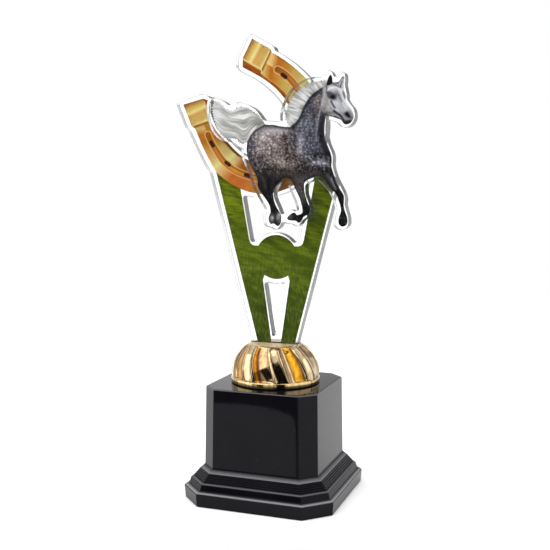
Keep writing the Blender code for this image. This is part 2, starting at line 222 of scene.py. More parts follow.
def line_distance(points, line):
    """Each point's distance from a line, how far along the line its nearest spot lies, and on which side."""
    nearest = np.full(len(points), np.inf)
    along = np.zeros(len(points))
    side = np.zeros(len(points))
    gone = 0.0
    for start, end in zip(line, line[1:]):
        span = end - start
        length = max(float(np.hypot(*span)), 1e-9)
        offset = points - start
        share = np.clip(offset @ span / length ** 2, 0.0, 1.0)
        away = np.hypot(*(offset - share[:, None] * span).T)
        closer = away < nearest
        nearest[closer] = away[closer]
        along[closer] = gone + share[closer] * length
        side[closer] = np.sign(span[0] * offset[closer, 1] - span[1] * offset[closer, 0])
        gone += length
    return nearest, along, side


def depth_inside(points, loop):
    """How deep each point lies inside a closed loop, negative outside it."""
    closed = np.vstack([loop, loop[:1]])
    nearest, _, _ = line_distance(points, closed)
    x, z = points.T
    inside = np.zeros(len(points), bool)
    for (ax, az), (bx, bz) in zip(closed, closed[1:]):
        if az != bz:
            inside ^= ((az > z) != (bz > z)) & (x < ax + (z - az) * (bx - ax) / (bz - az))
    return np.where(inside, nearest, -nearest)


def noise(x, z, seed):
    """Smooth noise from 0 to 1, about one unit from bump to bump."""
    table = np.random.default_rng(seed).random((64, 64))
    i, j = np.floor(x).astype(int), np.floor(z).astype(int)
    u, v = x - i, z - j
    u, v = u * u * (3 - 2 * u), v * v * (3 - 2 * v)
    low = table[i % 64, j % 64] * (1 - u) + table[(i + 1) % 64, j % 64] * u
    high = table[i % 64, (j + 1) % 64] * (1 - u) + table[(i + 1) % 64, (j + 1) % 64] * u
    return low * (1 - v) + high * v


def spots(x, z, seed):
    """Round spots at scattered places about one unit apart, 1 at each spot's middle."""
    table = np.random.default_rng(seed).random((64, 64, 3))
    i, j = np.floor(x).astype(int), np.floor(z).astype(int)
    best = np.zeros(x.shape)
    for di in (-1, 0, 1):
        for dj in (-1, 0, 1):
            spot = table[(i + di) % 64, (j + dj) % 64]
            away = np.hypot(i + di + 0.15 + 0.7 * spot[..., 0] - x, j + dj + 0.15 + 0.7 * spot[..., 1] - z)
            best = np.maximum(best, (0.45 + 0.55 * spot[..., 2]) * np.exp(-(away / 0.36) ** 2))
    return best


def stop_colours(places, stops):
    """Colours between stops, which are pairs of a place and a colour."""
    marks = [stop[0] for stop in stops]
    return np.column_stack([np.interp(places, marks, [stop[1][k] for stop in stops]) for k in range(3)])


class Picture:
    """Colours laid like paint on a set of points, in screen colours from 0 to 255."""

    def __init__(self, points, ground):
        self.points = points
        self.colours = np.tile(np.array(ground, float), (len(points), 1))

    def lay(self, colour, cover):
        cover = np.clip(cover, 0.0, 1.0)[:, None]
        self.colours += (np.asarray(colour, float) - self.colours) * cover

    def area(self, outline, colour, edge, strength=1.0):
        """A patch with a smooth outline."""
        loop = smooth_line(outline, 0.4, closed=True)
        self.lay(colour, strength * ease(depth_inside(self.points, loop), -edge, edge))

    def corner_area(self, outline, colour, edge):
        """A patch with corners."""
        loop = np.array(outline, float)
        self.lay(colour, ease(depth_inside(self.points, loop), -edge, edge))

    def stroke(self, line, width, colour, edge=0.3, strength=1.0):
        """A brush stroke; its width may be one number or one for its start and one for its end."""
        smooth = smooth_line(line, 0.4)
        away, along, _ = line_distance(self.points, smooth)
        length = np.hypot(*np.diff(smooth, axis=0).T).sum()
        first, last = width if isinstance(width, tuple) else (width, width)
        half = (first + (last - first) * along / length) / 2
        self.lay(colour, strength * (1 - ease(away - half, -edge, edge)))

    def spot(self, centre, radii, colour, strength=1.0, turn=0.0):
        """A soft round or oval touch of colour."""
        c, s = math.cos(math.radians(turn)), math.sin(math.radians(turn))
        dx, dz = (self.points - centre).T
        u, v = (c * dx + s * dz) / radii[0], (c * dz - s * dx) / radii[1]
        self.lay(colour, strength * np.exp(-(u * u + v * v)))

    def shade(self, amount):
        """Lightens or darkens every point by its own amount."""
        self.colours = np.clip(self.colours + np.asarray(amount)[:, None], 0.0, 255.0)


# Nodes of materials

def node(tree, kind, inputs=None, **settings):
    """A node with its settings made, its inputs set to values or joined to sockets."""
    made = tree.nodes.new("ShaderNode" + kind)
    for name, value in settings.items():
        setattr(made, name, value)
    for name, value in (inputs or {}).items():
        if isinstance(value, bpy.types.NodeSocket):
            tree.links.new(value, made.inputs[name])
        else:
            made.inputs[name].default_value = value
    return made


def new_material(name):
    material = bpy.data.materials.new(name)
    material.use_nodes = True
    tree = material.node_tree
    return material, tree, tree.nodes["Principled BSDF"]


def place(tree, scale, turn=0.0):
    """The point on the piece, with the metres along each axis multiplied by the scale."""
    coordinates = node(tree, "TexCoord").outputs["Object"]
    mapping = node(tree, "Mapping", {
        "Vector": coordinates,
        "Rotation": (0.0, math.radians(-turn), 0.0),
        "Scale": tuple(1.0 / share for share in scale),
    }, vector_type="TEXTURE")
    return mapping.outputs["Vector"]


def grain(tree, scale, detail=2.0, turn=0.0, rough=0.5):
    """Noise from 0 to 1 with its own scale along each axis."""
    made = node(tree, "TexNoise", {
        "Vector": place(tree, scale, turn),
        "Scale": 1.0,
        "Detail": detail,
        "Roughness": rough,
    })
    return made.outputs["Fac"]


def spread(tree, value, low, high, from_low=0.3, from_high=0.7):
    """Maps a noise's usual range to the range from low to high."""
    made = node(tree, "MapRange", {
        "Value": value,
        "From Min": from_low,
        "From Max": from_high,
        "To Min": low,
        "To Max": high,
    })
    return made.outputs["Result"]


def blend(tree, share, first, second):
    """Mixes two colours by a share."""
    made = node(tree, "Mix", data_type="RGBA", blend_type="MIX")
    for index, value in ((0, share), (6, first), (7, second)):
        if isinstance(value, bpy.types.NodeSocket):
            tree.links.new(value, made.inputs[index])
        elif index == 0:
            made.inputs[index].default_value = value
        else:
            made.inputs[index].default_value = (*value, 1.0)
    return made.outputs[2]


def bump(tree, shader, height, strength, distance):
    made = node(tree, "Bump", {"Height": height, "Strength": strength, "Distance": distance})
    tree.links.new(made.outputs["Normal"], shader.inputs["Normal"])


def black_plastic(name, gloss):
    """Polished black moulding with faint waves, hairline marks and painted highlights along its edges."""
    material, tree, shader = new_material(name)
    shader.inputs["IOR"].default_value = 1.22
    shader.inputs["Specular IOR Level"].default_value = gloss
    shader.inputs["Specular Tint"].default_value = (0.95, 0.93, 1.0, 1.0)
    tone = grain(tree, (90, 90, 90), 3.0)
    colour = blend(tree, spread(tree, tone, 0.0, 1.0), (0.0024, 0.0022, 0.0032), (0.0036, 0.0034, 0.0048))
    # painted highlight: the base colour turns lighter where the edges catch the light
    edge = node(tree, "Attribute", attribute_name="edge").outputs["Fac"]
    tree.links.new(blend(tree, edge, colour, EDGE_SHEEN), shader.inputs["Base Color"])
    marks = grain(tree, (900, 900, 60), 4.0, 20.0)
    tree.links.new(spread(tree, marks, 0.02, 0.07), shader.inputs["Roughness"])
    bump(tree, shader, grain(tree, (55, 55, 40), 1.0), 0.12, 0.00006)
    return material


def gold_plastic():
    """Metallised gold, mirror-like, with faint waves left by the moulding, and painted reflections and
    painted shade in its colours.
    """
    material, tree, shader = new_material("gold_plastic")
    streaks = spread(tree, grain(tree, (900, 900, 110), 3.0), 0.62, 1.28)
    # painted reflections and painted shade: the vertex colours give the dome's bands of light and dark
    gilt_and_painted_reflections = node(tree, "VertexColor", layer_name="gilt_and_painted_reflections").outputs["Color"]
    streaked = node(tree, "VectorMath", {0: gilt_and_painted_reflections, 1: streaks}, operation="MULTIPLY").outputs["Vector"]
    tree.links.new(streaked, shader.inputs["Base Color"])
    satin = node(tree, "Attribute", attribute_name="satin").outputs["Fac"]
    tree.links.new(spread(tree, satin, 1.0, 0.15, 0.0, 1.0), shader.inputs["Metallic"])
    polish = spread(tree, grain(tree, (700, 700, 700), 3.0), 0.05, 0.11)
    rough = node(tree, "Mix", {0: satin, 2: polish, 3: 0.4}).outputs[0]
    tree.links.new(rough, shader.inputs["Roughness"])
    bump(tree, shader, grain(tree, (420, 420, 110), 2.0), 0.14, 0.00012)
    return material


def clear_face():
    """The polished faces of the clear sheet."""
    material, tree, shader = new_material("clear_acrylic")
    shader.inputs["Transmission Weight"].default_value = 1.0
    shader.inputs["IOR"].default_value = 1.49
    haze = grain(tree, (300, 300, 300), 3.0)
    tree.links.new(spread(tree, haze, 0.0, 0.012), shader.inputs["Roughness"])
    tint = blend(tree, spread(tree, haze, 0.0, 1.0), (0.985, 0.99, 0.99), (0.995, 1.0, 1.0))
    tree.links.new(tint, shader.inputs["Base Color"])
    return material


def cut_edge():
    """The laser-cut edge of the clear sheet, less clear than its faces, its grey a painted shade standing for
    the darker surroundings mirrored in it.
    """
    material, tree, shader = new_material("cut_edge")
    marks = grain(tree, (2600, 120, 2600), 2.0)
    shader.inputs["Transmission Weight"].default_value = 0.85
    shader.inputs["IOR"].default_value = 1.49
    shader.inputs["Specular IOR Level"].default_value = 0.2
    tree.links.new(spread(tree, marks, 0.08, 0.22), shader.inputs["Roughness"])
    # painted shade: the grey base colour darkens the edge as the surroundings mirrored in it would
    tint = blend(tree, spread(tree, marks, 0.0, 1.0), (0.05, 0.055, 0.05), (0.18, 0.185, 0.18))
    tree.links.new(tint, shader.inputs["Base Color"])
    return material


def picture_ink(name):
    """Ink whose colours are painted on the mesh, with the fine grain of print."""
    material, tree, shader = new_material(name)
    painted = node(tree, "VertexColor", layer_name="ink").outputs["Color"]
    speck = spread(tree, grain(tree, (7000, 7000, 7000), 2.0), 0.86, 1.12)
    shaded = node(tree, "VectorMath", {0: painted, 1: speck}, operation="MULTIPLY").outputs["Vector"]
    tree.links.new(shaded, shader.inputs["Base Color"])
    shader.inputs["Specular IOR Level"].default_value = INK_SPECULAR
    tree.links.new(spread(tree, grain(tree, (900, 900, 900)), 0.5, 0.65), shader.inputs["Roughness"])
    return material


def white_backing():
    """The white ink that closes the print behind its colours."""
    material, tree, shader = new_material("white_backing")
    tone = grain(tree, (500, 500, 500), 3.0)
    colour = blend(tree, spread(tree, tone, 0.0, 1.0), (0.72, 0.72, 0.71), (0.80, 0.80, 0.79))
    tree.links.new(colour, shader.inputs["Base Color"])
    shader.inputs["Roughness"].default_value = 0.6
    return material


def grass_ink():
    """Printed grass: upright blades low down, level mown streaks higher up, and slanting darker bands."""
    material, tree, shader = new_material("grass_ink")
    height = node(tree, "SeparateXYZ", {0: place(tree, (1, 1, 1))}).outputs["Z"]
    rise = spread(tree, height, 0.0, 1.0, 0.078, 0.128)
    dark = tuple(linear((40, 56, 10)) / PRINT_GAIN)
    low = tuple(linear((100, 117, 40)) / PRINT_GAIN)
    high = tuple(linear((128, 144, 18)) / PRINT_GAIN)
    base = blend(tree, rise, low, high)
    blades = grain(tree, (1300, 1, 330), 4.0, 4.0, 0.65)
    streaks = grain(tree, (130, 1, 900), 3.0, -9.0, 0.6)
    blade_dark = spread(tree, blades, 1.0, 0.0, 0.36, 0.62)
    streak_dark = spread(tree, streaks, 0.72, 0.0, 0.36, 0.60)
    amount = node(tree, "Mix", {0: rise, 2: blade_dark, 3: streak_dark}).outputs[0]
    coloured = blend(tree, amount, base, dark)
    bands = spread(tree, grain(tree, (45, 1, 230), 2.0, -24.0), 0.72, 0.0, 0.40, 0.56)
    coloured = blend(tree, bands, coloured, tuple(linear((58, 76, 8)) / PRINT_GAIN))
    earth = spread(tree, grain(tree, (420, 1, 300), 3.0), 0.0, 0.5, 0.62, 0.75)
    coloured = blend(tree, earth, coloured, tuple(linear((104, 96, 62)) / PRINT_GAIN))
    tree.links.new(coloured, shader.inputs["Base Color"])
    shader.inputs["Specular IOR Level"].default_value = INK_SPECULAR
    tree.links.new(spread(tree, grain(tree, (900, 900, 900)), 0.5, 0.65), shader.inputs["Roughness"])
    return material


def floor_paper():
    material, tree, shader = new_material("floor_paper")
    tone = spread(tree, grain(tree, (40, 40, 40), 3.0), 0.0, 1.0)
    tree.links.new(blend(tree, tone, (0.86, 0.86, 0.86), (0.88, 0.88, 0.88)), shader.inputs["Base Color"])
    shader.inputs["Roughness"].default_value = 0.8
    shader.inputs["Specular IOR Level"].default_value = 0.1
    return material


# Meshes

def add_object(name, mesh):
    obj = bpy.data.objects.new(name, mesh)
    bpy.context.scene.collection.objects.link(obj)
    return obj


def shade(mesh, angle):
    mesh.shade_smooth()
    mesh.set_sharp_from_angle(angle=math.radians(angle))


def keep_flat(piece):
    """Lets the large faces decide the shading, so that they mirror as flat ones do."""
    weighted = piece.modifiers.new("flat_faces", "WEIGHTED_NORMAL")
    weighted.weight = 100
    weighted.keep_sharp = True


def loft(name, rings, material, angle):
    """A closed piece through rings of as many points each, in mm, with flat ends."""
    mesh = bpy.data.meshes.new(name)
    shape = bmesh.new()
    rows = [[shape.verts.new(Vector(point) * MM) for point in ring] for ring in rings]
    for low, high in zip(rows, rows[1:]):
        for i, vert in enumerate(low):
            j = (i + 1) % len(low)
            shape.faces.new((vert, low[j], high[j], high[i]))
    shape.faces.new(list(reversed(rows[0])))
    shape.faces.new(rows[-1])
    shape.to_mesh(mesh)
    shape.free()
    shade(mesh, angle)
    mesh.materials.append(material)
    return add_object(name, mesh)


def rounded_corner(before, corner, after, radius, count=5):
    """Points of an arc that rounds a corner between two straight lines."""
    corner = np.array(corner, float)
    back, ahead = np.array(before) - corner, np.array(after) - corner
    reach_back, reach_ahead = np.linalg.norm(back), np.linalg.norm(ahead)
    back, ahead = back / reach_back, ahead / reach_ahead
    half = math.acos(np.clip(back @ ahead, -1, 1)) / 2
    if half > math.radians(89):
        return [corner]
    inset = min(radius / math.tan(half), 0.45 * reach_back, 0.45 * reach_ahead)
    start, end = corner + back * inset, corner + ahead * inset
    return [
        (1 - t) ** 2 * start + 2 * t * (1 - t) * corner + t * t * end
        for t in np.linspace(0.0, 1.0, count)
    ]


def cut_square(half, cut, z, rounding):
    """A square ring with cut corners, all its upright edges rounded."""
    inner = half - cut
    plan = []
    for turn in range(4):
        c, s = round(math.cos(turn * math.pi / 2)), round(math.sin(turn * math.pi / 2))
        plan += [(c * x - s * y, s * x + c * y) for x, y in ((half, -inner), (half, inner))]
    ring = []
    for before, corner, after in zip(plan[-1:] + plan[:-1], plan, plan[1:] + plan[:1]):
        ring += [(x, y, z) for x, y in rounded_corner(before, corner, after, rounding, 7)]
    return ring


def reed_profile(start, end):
    """Small half-round reeds side by side from start to end, as (out, up)."""
    start, end = np.array(start), np.array(end)
    span = end - start
    outward = np.array([span[1], -span[0]]) / np.linalg.norm(span)
    points = []
    for k in range(REED_COUNT):
        for t in np.linspace(0.04, 0.96, 7):
            spot = start + span * (k + t) / REED_COUNT
            points.append(tuple(spot + outward * REED_BULGE * (2 * math.sin(math.pi * t) ** 0.6 - 1)))
    return points


def plinth_profile():
    """The plinth's side from its underside up, as (out, up) in mm."""
    corners = [
        (33.6, 0.0, 0.0), (33.95, 0.0, 0.25), (SLAB_HALF, 5.55, 0.35), (33.85, 6.15, 0.3),
        (32.55, 6.55, 0.5), (32.05, 8.0, 0.6), (31.75, 9.15, 0.8), (30.75, 9.9, 0.3),
    ]
    upper = [(27.95, 13.25, 0.15), (26.35, 14.75, 0.35), (BLOCK_FOOT_HALF, 15.3, 0.3)]
    crown = [(BLOCK_TOP_HALF, PLINTH_TOP, 0.55), (BLOCK_TOP_HALF - 2.0, PLINTH_TOP, 0.0)]
    reeds = [(x, z, 0.0) for x, z in reed_profile((30.45, 9.95), (28.0, 13.1))]
    chain = corners + reeds + upper + crown
    profile = [chain[0][:2]]
    for before, corner, after in zip(chain, chain[1:], chain[2:]):
        if corner[2] > 0:
            profile += [tuple(p) for p in rounded_corner(before[:2], corner[:2], after[:2], corner[2])]
        else:
            profile.append(corner[:2])
    profile.append(chain[-1][:2])
    return profile


def make_plinth():
    """Slab, moulding and block of the plinth with all its edges eased."""
    rings = []
    for half, z in plinth_profile():
        if z > BLOCK_FOOT:
            share = (z - BLOCK_FOOT) / (PLINTH_TOP - BLOCK_FOOT)
            cut = BLOCK_FOOT_CUT + (BLOCK_TOP_CUT - BLOCK_FOOT_CUT) * share
            rounding = UPRIGHT_ROUNDING
        else:
            share = (half - BLOCK_FOOT_HALF) / (SLAB_HALF - BLOCK_FOOT_HALF)
            cut = BLOCK_FOOT_CUT + (SLAB_CUT - BLOCK_FOOT_CUT) * max(0.0, share)
            rounding = SLAB_ROUNDING
        rings.append(cut_square(half, cut, z, rounding))
    plinth = loft("plinth_body", rings, black_plastic("black_plastic", PLINTH_GLOSS), PLINTH_CREASE)
    keep_flat(plinth)
    plinth.data.materials.append(black_plastic("black_moulding", MOULDING_GLOSS))
    for face in plinth.data.polygons:
        face.material_index = int(MOULDING_LOW < face.center.z / MM < MOULDING_HIGH)
    heights = np.array([ring[0][2] for ring in rings])
    # painted highlights: lighter lines at the heights of the plinth's edges
    sheen = sum(strength * np.exp(-((heights - z) / width) ** 2) for z, width, strength in EDGE_LINES)
    layer = plinth.data.attributes.new("edge", "FLOAT", "POINT")
    layer.data.foreach_set("value", np.repeat(np.minimum(sheen, 1.0), len(rings[0])))
    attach(plinth, "root")
    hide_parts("plinth")


def riser_ring(up, depth, ridge):
    """A ring of the dome at a share of its height: flat panels, hollow flutes and thin raised edges."""
    top_share = (1 - (RISER_TOP_RADIUS / RISER_RADIUS) ** 2) ** (1 / RISER_SWELL)
    radius = RISER_RADIUS * math.sqrt(1 - (up * top_share) ** RISER_SWELL) - 0.3
    z = RING_TOP + (RISER_TOP - RING_TOP) * up
    cell = 2 * math.pi / FLUTE_COUNT
    panel, flute = cell * PANEL_SHARE, cell * (1 - PANEL_SHARE)
    ring = []
    for k in range(FLUTE_COUNT):
        start = math.radians(RISER_PHASE + RISER_TWIST * up) + k * cell - panel / 2
        for share in np.linspace(0.0, 1.0, PANEL_POINTS):
            angle = start + panel * share
            flat = math.cos(panel / 2) / math.cos(angle - start - panel / 2)
            edge = math.exp(-((share - round(share)) / 0.07) ** 2) * ridge
            ring.append((angle, radius * flat + edge))
        for share in np.linspace(0.0, 1.0, FLUTE_POINTS)[1:-1]:
            hollow = depth * math.sin(math.pi * share) ** 0.75
            edge = math.exp(-(min(share, 1 - share) / 0.035) ** 2) * ridge
            ring.append((start + panel + flute * share, radius - hollow + edge))
    return [(r * math.cos(a), r * math.sin(a), z) for a, r in ring]


def make_riser():
    """The fluted dome on its ring, with the slot for the back plate."""
    angles = [math.atan2(y, x) for x, y, _ in riser_ring(0.0, 0.0, 0.0)]
    ring_profile = [
        (RISER_RADIUS - 0.35, RING_LOW), (RISER_RADIUS - 0.1, RING_LOW + 0.12),
        (RISER_RADIUS - 0.02, RING_LOW + 0.4), (RISER_RADIUS, RING_LOW + 1.1),
        (RISER_RADIUS, RING_TOP - 0.9), (RISER_RADIUS - 0.06, RING_TOP - 0.4),
        (RISER_RADIUS - 0.25, RING_TOP - 0.12), (RISER_RADIUS - 0.5, RING_TOP),
    ]
    rings = [[(r * math.cos(a), r * math.sin(a), z) for a in angles] for r, z in ring_profile]
    for up in np.concatenate([np.linspace(0.012, 0.9, 34), np.linspace(0.915, 0.965, 5)]):
        fade = ease(1.0 - up, 0.02, 0.12) * (0.35 + 0.65 * ease(up, 0.0, 0.05))
        depth = FLUTE_DEPTH * fade * math.sqrt(1 - 0.5 * up)
        rings.append(riser_ring(up, depth, RIDGE_HEIGHT * fade))
    twisted = np.array(angles) + math.radians(RISER_TWIST)
    for inset, drop in RISER_TOP_STEPS:
        r = RISER_TOP_RADIUS - inset
        rings.append([(r * math.cos(a), r * math.sin(a), RISER_TOP - drop) for a in twisted])
    dome = loft("riser_dome", rings, gold_plastic(), RISER_CREASE)
    gild_with_painted_reflections(dome.data, len(ring_profile), len(rings) - len(RISER_TOP_STEPS))
    cut_slot(dome)
    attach(dome, "root")
    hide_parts("riser")


def gild_with_painted_reflections(mesh, first_ring, end_ring):
    """Colours the dome: pale panels with dark edges, flutes in bands of amber, brown and tan, a satin top;
    the bands are painted reflections and painted shade.
    """
    shares = np.concatenate([
        PANEL_SHARE * np.linspace(0.0, 1.0, PANEL_POINTS),
        PANEL_SHARE + (1 - PANEL_SHARE) * np.linspace(0.0, 1.0, FLUTE_POINTS)[1:-1],
    ])
    cells = [stop_colours(shares, PANEL_PAINTED_REFLECTIONS + flute) for flute in (WIDE_FLUTE_PAINTED_REFLECTIONS, NARROW_FLUTE_PAINTED_REFLECTIONS)]
    around = np.tile(np.vstack(cells), (FLUTE_COUNT // 2, 1))
    rows = len(mesh.vertices) // len(around)
    colours = np.tile(np.array(GILT_PLAIN), (rows, len(around), 1))
    fade = ease(np.linspace(1, 0, end_ring - first_ring), 0.0, 0.08)[:, None, None]
    colours[first_ring:end_ring] += (around - colours[first_ring:end_ring]) * fade
    layer = mesh.color_attributes.new("gilt_and_painted_reflections", "FLOAT_COLOR", "POINT")
    layer.data.foreach_set("color", np.dstack([colours, np.ones(colours.shape[:2])]).ravel())
    satin = np.zeros(colours.shape[:2])
    satin[-SATIN_RINGS:] = 1.0
    mesh.attributes.new("satin", "FLOAT", "POINT").data.foreach_set("value", satin.ravel())


def cut_slot(dome):
    """Cuts the slot down into the dome's flat top."""
    cutter_mesh = bpy.data.meshes.new("slot_cutter")
    shape = bmesh.new()
    bmesh.ops.create_cube(shape, size=1.0)
    high = RISER_TOP + SLOT_CLEARANCE
    size = Vector((2 * SLOT_HALF_LENGTH, 2 * SLOT_HALF_WIDTH, high - SLOT_FLOOR)) * MM
    bmesh.ops.transform(shape, matrix=Matrix.Diagonal((*size, 1.0)), verts=shape.verts)
    bmesh.ops.translate(shape, vec=Vector((0, 0, (high + SLOT_FLOOR) / 2)) * MM, verts=shape.verts)
    shape.to_mesh(cutter_mesh)
    shape.free()
    cutter = add_object("slot_cutter", cutter_mesh)
    cut = dome.modifiers.new("slot", "BOOLEAN")
    cut.operation = "DIFFERENCE"
    cut.solver = "EXACT"
    cut.object = cutter
    evaluated = dome.evaluated_get(bpy.context.evaluated_depsgraph_get())
    finished = bpy.data.meshes.new_from_object(evaluated)
    dome.modifiers.clear()
    dome.data = finished
    bpy.data.objects.remove(cutter)


def node_loops(name):
    """The edge loops of a plate's front face, read from its node, in mm."""
    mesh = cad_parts[name].data
    places = np.array([v.co for v in mesh.vertices])
    front = places[:, 1].min() + 1e-5
    keys = [tuple(np.round(p[[0, 2]] / MM, 3)) for p in places]
    sides = set()
    for face in mesh.polygons:
        if all(places[v][1] < front for v in face.vertices):
            ring = [keys[v] for v in face.vertices]
            sides.update(zip(ring, ring[1:] + ring[:1]))
    ahead = {a: b for a, b in sides if (b, a) not in sides}
    loops = []
    while ahead:
        spot = next(iter(ahead))
        loop = []
        while spot in ahead:
            loop.append(spot)
            spot = ahead.pop(spot)
        loops.append(np.array(loop))
    return loops


def smooth_loop(loop, step):
    """Rounds a faceted loop through its own points, with sharp corners and straight runs kept."""
    before, after = np.roll(loop, 1, axis=0), np.roll(loop, -1, axis=0)
    incoming, outgoing = loop - before, after - loop
    turn = np.abs(np.degrees(np.arctan2(
        incoming[:, 0] * outgoing[:, 1] - incoming[:, 1] * outgoing[:, 0],
        (incoming * outgoing).sum(axis=1),
    )))
    chord = after - before
    tangent = chord / np.linalg.norm(chord, axis=1, keepdims=True)
    samples = []
    for i, start in enumerate(loop):
        j = (i + 1) % len(loop)
        span = loop[j] - start
        length = np.linalg.norm(span)
        leave = span if turn[i] > OUTLINE_CREASE else tangent[i] * length
        arrive = span if turn[j] > OUTLINE_CREASE else tangent[j] * length
        count = max(1, math.ceil(length / step))
        t = (np.arange(count) / count)[:, None]
        samples.append(
            (2 * t ** 3 - 3 * t ** 2 + 1) * start + (t ** 3 - 2 * t ** 2 + t) * leave
            + (3 * t ** 2 - 2 * t ** 3) * loop[j] + (t ** 3 - t ** 2) * arrive
        )
    return np.vstack(samples)


def inset_loop(loop, distance):
    """Moves a loop to its left, into the plate, by a small distance."""
    ahead = np.roll(loop, -1, axis=0) - np.roll(loop, 1, axis=0)
    inward = np.column_stack([-ahead[:, 1], ahead[:, 0]]) / np.linalg.norm(ahead, axis=1, keepdims=True)
    return loop + inward * distance


def signed_area(loop):
    x, z = loop.T
    return 0.5 * float(np.sum(x * np.roll(z, -1) - np.roll(x, -1) * z))


def make_plate(name, node_name, faces, edges):
    """A clear plate on its node's own outline, with smooth curves and eased edges."""
    low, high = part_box(node_name)
    front, back = low.y / MM, high.y / MM
    loops = [smooth_loop(loop, OUTLINE_STEP) for loop in node_loops(node_name)]
    steps = [(PLATE_BEVEL, 0.0), (0.3 * PLATE_BEVEL, 0.3 * PLATE_BEVEL), (0.0, PLATE_BEVEL)]
    shape = bmesh.new()
    for loop in loops:
        levels = [(inset, front + depth) for inset, depth in steps]
        levels += [(inset, back - depth) for inset, depth in reversed(steps)]
        rows = []
        for inset, y in levels:
            ring = inset_loop(loop, inset) if inset else loop
            rows.append([shape.verts.new((x * MM, y * MM, z * MM)) for x, z in ring])
        for near, far in zip(rows, rows[1:]):
            for i in range(len(loop)):
                j = (i + 1) % len(loop)
                wall = shape.faces.new((near[j], near[i], far[i], far[j]))
                wall.material_index = 1
    caps = [inset_loop(loop, PLATE_BEVEL) for loop in loops]
    outer = [cap for cap in caps if signed_area(cap) > 0]
    holes = [cap[::-1] for cap in caps if signed_area(cap) < 0]
    places, triangles = filled_sheet(outer, None, holes)
    for y, turn in ((front, 1), (back, -1)):
        verts = [shape.verts.new((x * MM, y * MM, z * MM)) for x, z in places]
        for triangle in triangles:
            shape.faces.new([verts[k] for k in triangle[::turn]])
    bmesh.ops.remove_doubles(shape, verts=shape.verts, dist=1e-6)
    mesh = bpy.data.meshes.new(name)
    shape.to_mesh(mesh)
    shape.free()
    mesh.materials.append(faces)
    mesh.materials.append(edges)
    shade(mesh, PLATE_CREASE)
    plate = add_object(name, mesh)
    keep_flat(plate)
    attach(plate, "root")
    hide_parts(node_name)


def filled_sheet(loops, step, left_out=()):
    """Points and triangles that fill the loops but not those left out, with inner points a step apart."""
    every = list(loops) + list(left_out)
    outline = np.vstack(every)
    faces = []
    first = 0
    for loop in every:
        faces.append(list(range(first, first + len(loop))))
        first += len(loop)
    coords = [outline]
    if step:
        low, high = outline.min(axis=0), outline.max(axis=0)
        rows = np.arange(low[1], high[1], step * math.sqrt(3) / 2)
        inner = np.vstack([
            np.column_stack([np.arange(low[0], high[0], step) + (k % 2) * step / 2,
                             np.full(len(np.arange(low[0], high[0], step)), z)])
            for k, z in enumerate(rows)
        ])
        deep = np.maximum.reduce([depth_inside(inner, loop) for loop in loops])
        near = np.minimum.reduce([np.abs(depth_inside(inner, loop)) for loop in every])
        coords.append(inner[(deep > 0) & (near > 0.45 * step)])
    points = [Vector(p) for p in np.vstack(coords)]
    verts, _, triangles, _, _, owners = delaunay_2d_cdt(points, [], faces, 1, 1e-4, True)
    kept = [
        triangle for triangle, owner in zip(triangles, owners)
        if any(k < len(loops) for k in owner) and not any(k >= len(loops) for k in owner)
    ]
    used = sorted({v for triangle in kept for v in triangle})
    renumber = {v: k for k, v in enumerate(used)}
    places = np.array([verts[v] for v in used])
    return places, [[renumber[v] for v in triangle] for triangle in kept]


def make_print(name, places, triangles, y, ink, colours=None):
    """A thin closed print with its colours to the front and white ink behind."""
    mesh = bpy.data.meshes.new(name)
    mesh.from_pydata([(x * MM, y * MM, z * MM) for x, z in places], [], triangles)
    mesh.materials.append(ink)
    mesh.materials.append(BACKING)
    if colours is not None:
        layer = mesh.color_attributes.new("ink", "FLOAT_COLOR", "POINT")
        light = np.minimum(linear(colours) / PRINT_GAIN, BRIGHTEST_INK)
        layer.data.foreach_set("color", np.column_stack([light, np.ones(len(light))]).ravel())
    sheet = add_object(name, mesh)
    thick = sheet.modifiers.new("thickness", "SOLIDIFY")
    thick.thickness = PRINT_THICKNESS * MM
    thick.offset = -1.0
    thick.material_offset = 1
    thick.material_offset_rim = 1
    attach(sheet, "root")


# Back print: grass strips, disc and horseshoe, in mm across and up

SHOE_HEEL_LEFT = [(-45.2, 174.8), (-35.3, 177.2), (-31.7, 167.4), (-41.1, 165.0)]
SHOE_HEEL_RIGHT = [(-15.8, 194.2), (-11.3, 202.4), (-2.5, 197.3), (-7.0, 189.0)]
SHOE_OUTER = [
    (-40.0, 164.3), (-39.0, 163.0), (-35.6, 155.5), (-31.5, 148.0), (-29.0, 144.2), (-25.0, 140.8),
    (-20.0, 137.8), (-15.0, 135.6), (-10.0, 134.5), (-5.0, 134.1), (0.0, 134.8), (4.0, 136.0),
    (8.0, 137.6), (14.0, 141.8), (18.5, 147.5), (21.5, 154.5), (22.6, 162.0), (21.8, 169.5),
    (19.8, 175.5), (16.0, 181.5), (10.0, 187.5), (5.0, 191.5), (-0.3, 195.0), (-2.0, 195.7),
]
SHOE_INNER = [
    (-15.8, 193.4), (-15.9, 190.3), (-15.0, 189.7), (-10.0, 187.0), (-5.0, 184.0), (0.0, 180.0),
    (4.0, 175.6), (6.4, 172.3), (8.1, 167.0), (7.6, 158.0), (2.2, 149.8), (-6.3, 147.2),
    (-15.0, 150.3), (-20.0, 154.0), (-24.3, 158.5), (-28.0, 162.5), (-31.6, 168.0), (-31.0, 171.0),
    (-31.0, 174.0), (-32.5, 176.3),
]
SHOE_CENTRE = (-6.0, 164.0)
NAIL_HOLES = [((-30.9, 156.7), -57), ((-23.3, 147.8), -36), ((-13.7, 142.4), -17), ((3.6, 185.5), -38)]
DISC_RADIUS = 9.9
DISC_HEIGHT = 106.0


